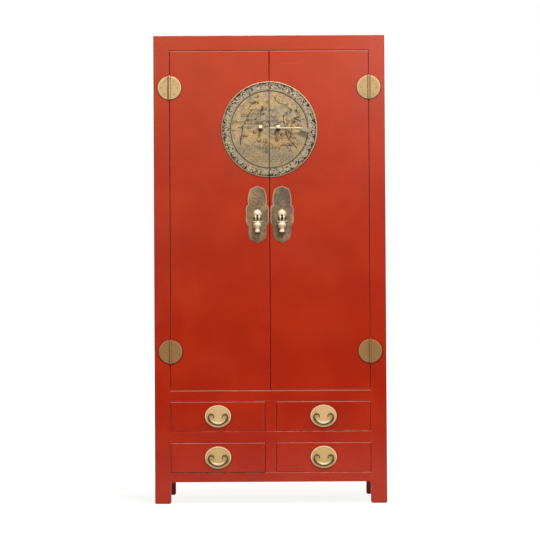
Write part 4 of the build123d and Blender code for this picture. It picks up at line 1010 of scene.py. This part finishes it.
# ---------------------------------------------------------------- door pulls
class CABINET_OT_pulls(bpy.types.Operator):
    """Finish the pull plates, pommels and pendants"""

    bl_idname = "cabinet.pulls"
    bl_label = "Door pulls"

    def execute(self, context):
        rng = random.Random(context.scene.cabinet_brass.seed + 1)
        # A pale band inside each plate's edge, painted as the edge's highlight, with painted shade
        # on its lower half.
        edge = aged_brass(
            "aged_brass_pull_edge_highlight_and_shade", "DCA88C", "C0947A", 0.15, 0.3,
            stains_and_shade=[(self.lower_lobe_shade, "6E5440")],
        )
        ink = dark_patina("patina_pull_lines", "5E5040")
        shades = {"left": ("AA8E74", "726452"), "right": ("A4886E", "6C5E50")}
        # Dirt and painted shadow round each pommel and pendant; on the right also grey bloom.
        stains_and_shade = {side: [(self.neck_shadow_and_knock, "33200F")] for side in SIDES}
        stains_and_shade["right"].append((self.upper_lobe, "5A5C64"))
        for side in SIDES:
            node, body = "door_%s_pull_plate" % side, "door_" + side
            wear(node, aged_brass(
                "aged_brass_pull_plate_" + side, *shades[side], 0.75, 0.35, stains_and_shade=stains_and_shade[side]
            ))
            band = inset_band(node, 0.2 * MM, 3.6 * MM, PULL_FACE, 0.3 * MM)
            show("pull_plate_edge_highlight_" + side, band, edge, body, smooth=False)
            strokes = self.scrollwork(rng)
            lines = relief("pull_engraving", strokes, node_round(node)[0], PULL_FACE, 0.2 * MM)
            show("pull_engraving_" + side, lines, ink, body)
            # Painted shade in the pommel's slot.
            pull = brushed_brass(
                "polished_brass_pull_" + side, "FFEED4", 0.4, 0.1, 0.3,
                [(self.slot_shade(side), "3A2410", 0.3)],
            )
            wear("door_%s_pull_pommel" % side, pull)
            wear("door_%s_pendant" % side, pull)
        return {"FINISHED"}

    def scrollwork(self, rng):
        """Scrolls and loose leaves within the plate's outline, clear of its edge."""
        strokes = []
        for up in (88, 66, 44, 20, -34, -62, -86):
            for side in (-1, 1):
                strokes.append(scroll(side * 13, up, 8.5, rng.uniform(0, math.tau), side, 0.8))
            strokes += thicket(rng, 0, up, 26, 15)
        return inside(strokes, 0.3 * 104, 104)

    def upper_lobe(self, place):
        """Grey bloom on the upper lobe."""
        middle = node_round("door_right_pull_plate")[0].z
        up = past(place, "Z", middle + 15 * MM, middle + 45 * MM)
        return together("MULTIPLY", up, patches(place, 24, 0.4, 0.56, 3.0), 0.75)

    def lower_lobe_shade(self, place):
        """Painted shade: the lower half of the edge darker brown."""
        middle = node_round("door_right_pull_plate")[0].z
        down = past(place, "Z", middle - 25 * MM, middle - 45 * MM)
        return together("MULTIPLY", down, 0.8)

    def neck_shadow_and_knock(self, place):
        """Dirt and painted shadow beside the pommel's neck, under its wide head, and a dark mark
        under the pendant's foot that is both painted shadow and a knock mark.
        """
        pivot = joint_place("pendant_right_hinge")
        x, _, z = mirrored(place)
        aside = together("SUBTRACT", x, pivot.x)
        down = together("SUBTRACT", z, pivot.z)
        beside = add("ABSOLUTE", (aside,))
        neck = together(
            "MULTIPLY", 0.85, within(beside, 12.5 * MM, 3 * MM, 2 * MM),
            within(down, -7 * MM, 6 * MM, 3 * MM),
        )
        mark = together(
            "MULTIPLY", 0.65, within(aside, 0.0, 8 * MM, 7 * MM),
            within(down, -60 * MM, 3 * MM, 5 * MM),
        )
        return together("MAXIMUM", neck, mark)

    def slot_shade(self, side):
        """Painted shade in the pommel's slot and on the pendant's tongue inside it."""
        pivot = joint_place("pendant_%s_hinge" % side)

        def dark(place):
            x, _, z = add("SeparateXYZ", (place,), None)
            across = within(x, pivot.x, 4.45 * MM, 0.2 * MM)
            along = within(z, pivot.z - 0.5 * MM, 11.6 * MM, 0.4 * MM)
            return together("MULTIPLY", across, along)

        return dark


# ---------------------------------------------------------------- hinges
class CABINET_OT_hinges(bpy.types.Operator):
    """Finish the round hinges, their pins and their nails"""

    bl_idname = "cabinet.hinges"
    bl_label = "Hinges"

    def execute(self, context):
        # Painted highlight on the hinges' upper rims, and brown film with painted shadow beside the
        # barrels.
        leaf = brushed_brass(
            "brushed_brass_hinge", "CCB48C", 0.34, 0.15, 0.65,
            [(self.rim_highlights, "F0C8A4", 0.0), (self.film, "7C4A10", 0.3)],
        )
        for node in ("hinge_post_leaves", "hinge_pins"):
            wear(node, leaf)
        for side in SIDES:
            wear("door_%s_hinge_leaves" % side, leaf)
        return {"FINISHED"}

    def rim_highlights(self, place):
        """The painted highlight on the upper rim of each of the four hinges."""
        shapes = [round_rim_highlight(centre, half) for centre, half in hinge_rounds()]
        return together("MAXIMUM", *(shape(place) for shape in shapes))

    def film(self, place):
        """Brown film on the nails' heads; darker colour on the lower hinges and, faintly, the
        right ones; painted shadow of each barrel in the fold beside it, and a dark line at the
        seam on its other side."""
        axis = joint_place("door_right_hinge").x
        x, _, _ = mirrored(place)
        off_axis = together("SUBTRACT", x, axis)
        barrel = within(x, axis, 8 * MM, 1 * MM)
        aside = together("SUBTRACT", 1.0, barrel)
        proud = past(place, "Y", FRONT - 1.65 * MM, FRONT - 1.8 * MM)
        amounts = (
            (0.55, aside, proud),
            (0.66, past(place, "Z", 1.2, 1.0)),
            (0.2, past(place, "X", 0.0, 0.1)),
            # Painted shadow of the barrel on the leaf beside it.
            (0.6, within(off_axis, 6.5 * MM, 2.2 * MM, 1.2 * MM)),
            (0.5, within(off_axis, -4.9 * MM, 0.6 * MM, 0.5 * MM)),
        )
        films = [together("MULTIPLY", *amount) for amount in amounts]
        return together("MAXIMUM", *films)


# ---------------------------------------------------------------- drawer pulls
class CABINET_OT_drawer_pulls(bpy.types.Operator):
    """Finish the oval plates and bails"""

    bl_idname = "cabinet.drawer_pulls"
    bl_label = "Drawer pulls"

    def execute(self, context):
        brass = context.scene.cabinet_brass
        line = dark_patina("patina_oval_line", "8E7844")
        for drawer in DRAWERS:
            node = "drawer_%s_pull_plate" % drawer
            middle, half = node_round(node)
            face_y = middle.y + half.y - OVAL_THICKNESS
            # Painted highlight on each oval's upper rim and painted shade on its lugs.
            wear(node, brushed_brass(
                "brushed_brass_" + node, brass.polished if "upper" in drawer else "DABF8E",
                0.32, 0.08, 0.6,
                [(round_rim_highlight(middle, half), "FCD6B8", 0.0), (self.lug_shade(face_y), "4E3614", 0.3)],
            ))
            stroke = oval_stroke(0, 0, half.x / MM - 6, half.z / MM - 6, 0.6, 120)
            oval = relief("oval_line", [stroke], middle, face_y, 0.12 * MM)
            body = "drawer_" + drawer
            show("oval_line_" + drawer, oval, line, body, smooth=False)
            # Painted shade and dark reflection on the bail's arms and outer edge.
            wear("drawer_%s_bail" % drawer, brushed_brass(
                "brushed_brass_bail_" + drawer, brass.pale, 0.26, 0.1, 0.55,
                [(self.bail_shade(drawer), "4E3610", 0.3)],
            ))
        return {"FINISHED"}

    def lug_shade(self, face_y):
        """Painted shade: the two lugs, proud of the plate, are dark brown."""

        def dark(place):
            proud = past(place, "Y", face_y - 0.4 * MM, face_y - 1.4 * MM)
            return together("MULTIPLY", proud, 0.8)

        return dark

    def bail_shade(self, drawer):
        """A bail is pale brass, painted dark on its arms and outer edge as shade and as a dark
        reflection.
        """
        pivot = joint_place("bail_%s_hinge" % drawer)
        low, high = node_box("drawer_%s_bail" % drawer)
        drop = pivot.z - low.z
        half = Vector(((high.x - low.x) / 2, 0, drop))

        def dark(place):
            size = round_size(place, pivot, half)
            outer = add("MapRange", (size, 0.84, 0.9))
            arms = past(place, "Z", pivot.z - 0.62 * drop, pivot.z - 0.3 * drop)
            return together("MULTIPLY", together("MAXIMUM", arms, outer), 0.95)

        return dark


# ---------------------------------------------------------------- stage
class CABINET_OT_stage(bpy.types.Operator):
    """Set up the pale floor, the soft light and the camera"""

    bl_idname = "cabinet.stage"
    bl_label = "Studio"

    def execute(self, context):
        self.floor()
        self.world(context.scene)
        self.lights(context.scene.cabinet_stage)
        self.camera(context)
        context.scene.view_settings.view_transform = "Standard"
        return {"FINISHED"}

    def floor(self):
        """A wide pale floor that glows where it is seen, so that it joins the white room."""
        bm = bmesh.new()
        bmesh.ops.create_grid(bm, x_segments=2, y_segments=2, size=40)
        mesh = bpy.data.meshes.new("floor")
        bm.to_mesh(mesh)
        bm.free()
        floor = bpy.data.objects.new("floor", mesh)
        bpy.context.scene.collection.objects.link(floor)
        material, place = start_material("pale_floor")
        radius = add("VectorMath", (place,), "Value", operation="LENGTH")
        near = add("MapRange", (radius, 5.0, 2.0))
        diffuse = add("BsdfDiffuse", {"Color": together("MULTIPLY", near, 0.8)})
        tree = material.node_tree
        glow = add("Emission", {"Color": (1, 1, 1, 1), "Strength": 1.14}, tree=tree)
        away = add("MapRange", (radius, 0.5, 1.3))
        share = add("MULTIPLY_ADD", (away, 0.22, 0.78))
        seen = add("LightPath", out="Is Camera Ray", tree=tree)
        share = together("MULTIPLY", share, seen)
        both = add("MixShader", (share, diffuse, glow))
        add("OutputMaterial", {"Surface": both}, None)
        mesh.materials.append(material)

    def world(self, scene):
        """White where it is seen; for the light, a warm room that is dim low in front."""
        world = bpy.data.worlds.new("studio")
        scene.world = world
        world.use_nodes = True
        tree = world.node_tree
        tree.nodes.clear()
        path = add("LightPath", out=None, tree=tree)
        seen = path["Is Camera Ray"]
        way = add("TexCoord", out="Generated", tree=tree)
        behind = together("MULTIPLY", past(way, "Y", -0.2, 0.5), 0.4)
        bright = together("MAXIMUM", past(way, "Z", 0.02, 0.14), behind)
        stage = scene.cabinet_stage
        front = past(way, "Y", -0.88, -0.96)
        dull = 1.2
        sheen = add("MULTIPLY_ADD", (front, stage.sheen - dull, dull))
        levels = {0: path["Is Glossy Ray"], 2: stage.ambient, 3: sheen}
        level = add("Mix", levels, data_type="FLOAT")
        strength = add("MULTIPLY_ADD", (bright, level, 0.02))
        strength = add("Mix", {0: seen, 2: strength, 3: 1.0}, data_type="FLOAT")
        colour = painted((1.0, 0.86, 0.52, 1.0), (1.0, 1.0, 1.0, 1.0), seen)
        back = add("Background", {"Color": colour, "Strength": strength})
        add("OutputWorld", {"Surface": back}, None)

    def lights(self, stage):
        """An overhead key, a soft fill from the front and two soft lights from behind."""
        for name, place, aim, size, power in (
            ("key", (0.7, -2.4, 4.7), (0, 0, 1.2), 0.7, stage.key),
            ("fill", (1.75, -4.5, 3.1), (0, 0, 0.6), 2.6, stage.key * 0.2),
            ("back_left", (-4.0, 3.2, 2.6), (0, 0, 1.0), 2.0, stage.key * 0.4),
            ("back_right", (4.0, 3.2, 2.6), (0, 0, 1.0), 2.0, stage.key * 0.4),
        ):
            data = bpy.data.lights.new(name, "AREA")
            data.shape = "SQUARE"
            data.size = size
            data.energy = power
            lamp = bpy.data.objects.new(name, data)
            lamp.location = place
            lamp.rotation_euler = (Vector(aim) - Vector(place)).to_track_quat("-Z", "Y").to_euler()
            bpy.context.scene.collection.objects.link(lamp)

    def camera(self, context):
        stage = context.scene.cabinet_stage
        data = bpy.data.cameras.new("camera")
        data.lens = stage.lens
        data.sensor_width = 36
        data.clip_end = 100
        camera = bpy.data.objects.new("camera", data)
        place = Matrix.Translation((0, FRONT - stage.distance, stage.height))
        upright = Matrix.Rotation(math.pi / 2 + stage.pitch, 4, "X")
        turned = Matrix.Rotation(stage.roll, 4, "Z")
        camera.matrix_world = place @ upright @ turned
        context.scene.collection.objects.link(camera)
        context.scene.camera = camera


STEPS = (
    CABINET_OT_lacquer, CABINET_OT_bare_wood, CABINET_OT_lock_plate, CABINET_OT_lock_bar,
    CABINET_OT_pulls, CABINET_OT_hinges, CABINET_OT_drawer_pulls, CABINET_OT_stage,
)
GROUPS = {
    "cabinet_lacquer": CabinetLacquer, "cabinet_brass": CabinetBrass,
    "cabinet_stage": CabinetStage,
}


class CABINET_PT_panel(bpy.types.Panel):
    """The cabinet's finishing steps and settings"""

    bl_label = "Wedding Cabinet"
    bl_idname = "CABINET_PT_panel"
    bl_space_type = "VIEW_3D"
    bl_region_type = "UI"
    bl_category = "Cabinet"

    def draw(self, context):
        for step in STEPS:
            self.layout.operator(step.bl_idname)
        for name, group in GROUPS.items():
            for setting in group.__annotations__:
                self.layout.prop(getattr(context.scene, name), setting)


def register():
    for group in GROUPS.values():
        bpy.utils.register_class(group)
    for name, group in GROUPS.items():
        setattr(bpy.types.Scene, name, PointerProperty(type=group))
    for step in STEPS:
        bpy.utils.register_class(step)
    bpy.utils.register_class(CABINET_PT_panel)


def unregister():
    bpy.utils.unregister_class(CABINET_PT_panel)
    for step in reversed(STEPS):
        bpy.utils.unregister_class(step)
    for name, group in GROUPS.items():
        delattr(bpy.types.Scene, name)
        bpy.utils.unregister_class(group)


def main():
    register()
    for step in STEPS:
        area, name = step.bl_idname.split(".")
        getattr(getattr(bpy.ops, area), name)()


if __name__ == "__main__":
    main()
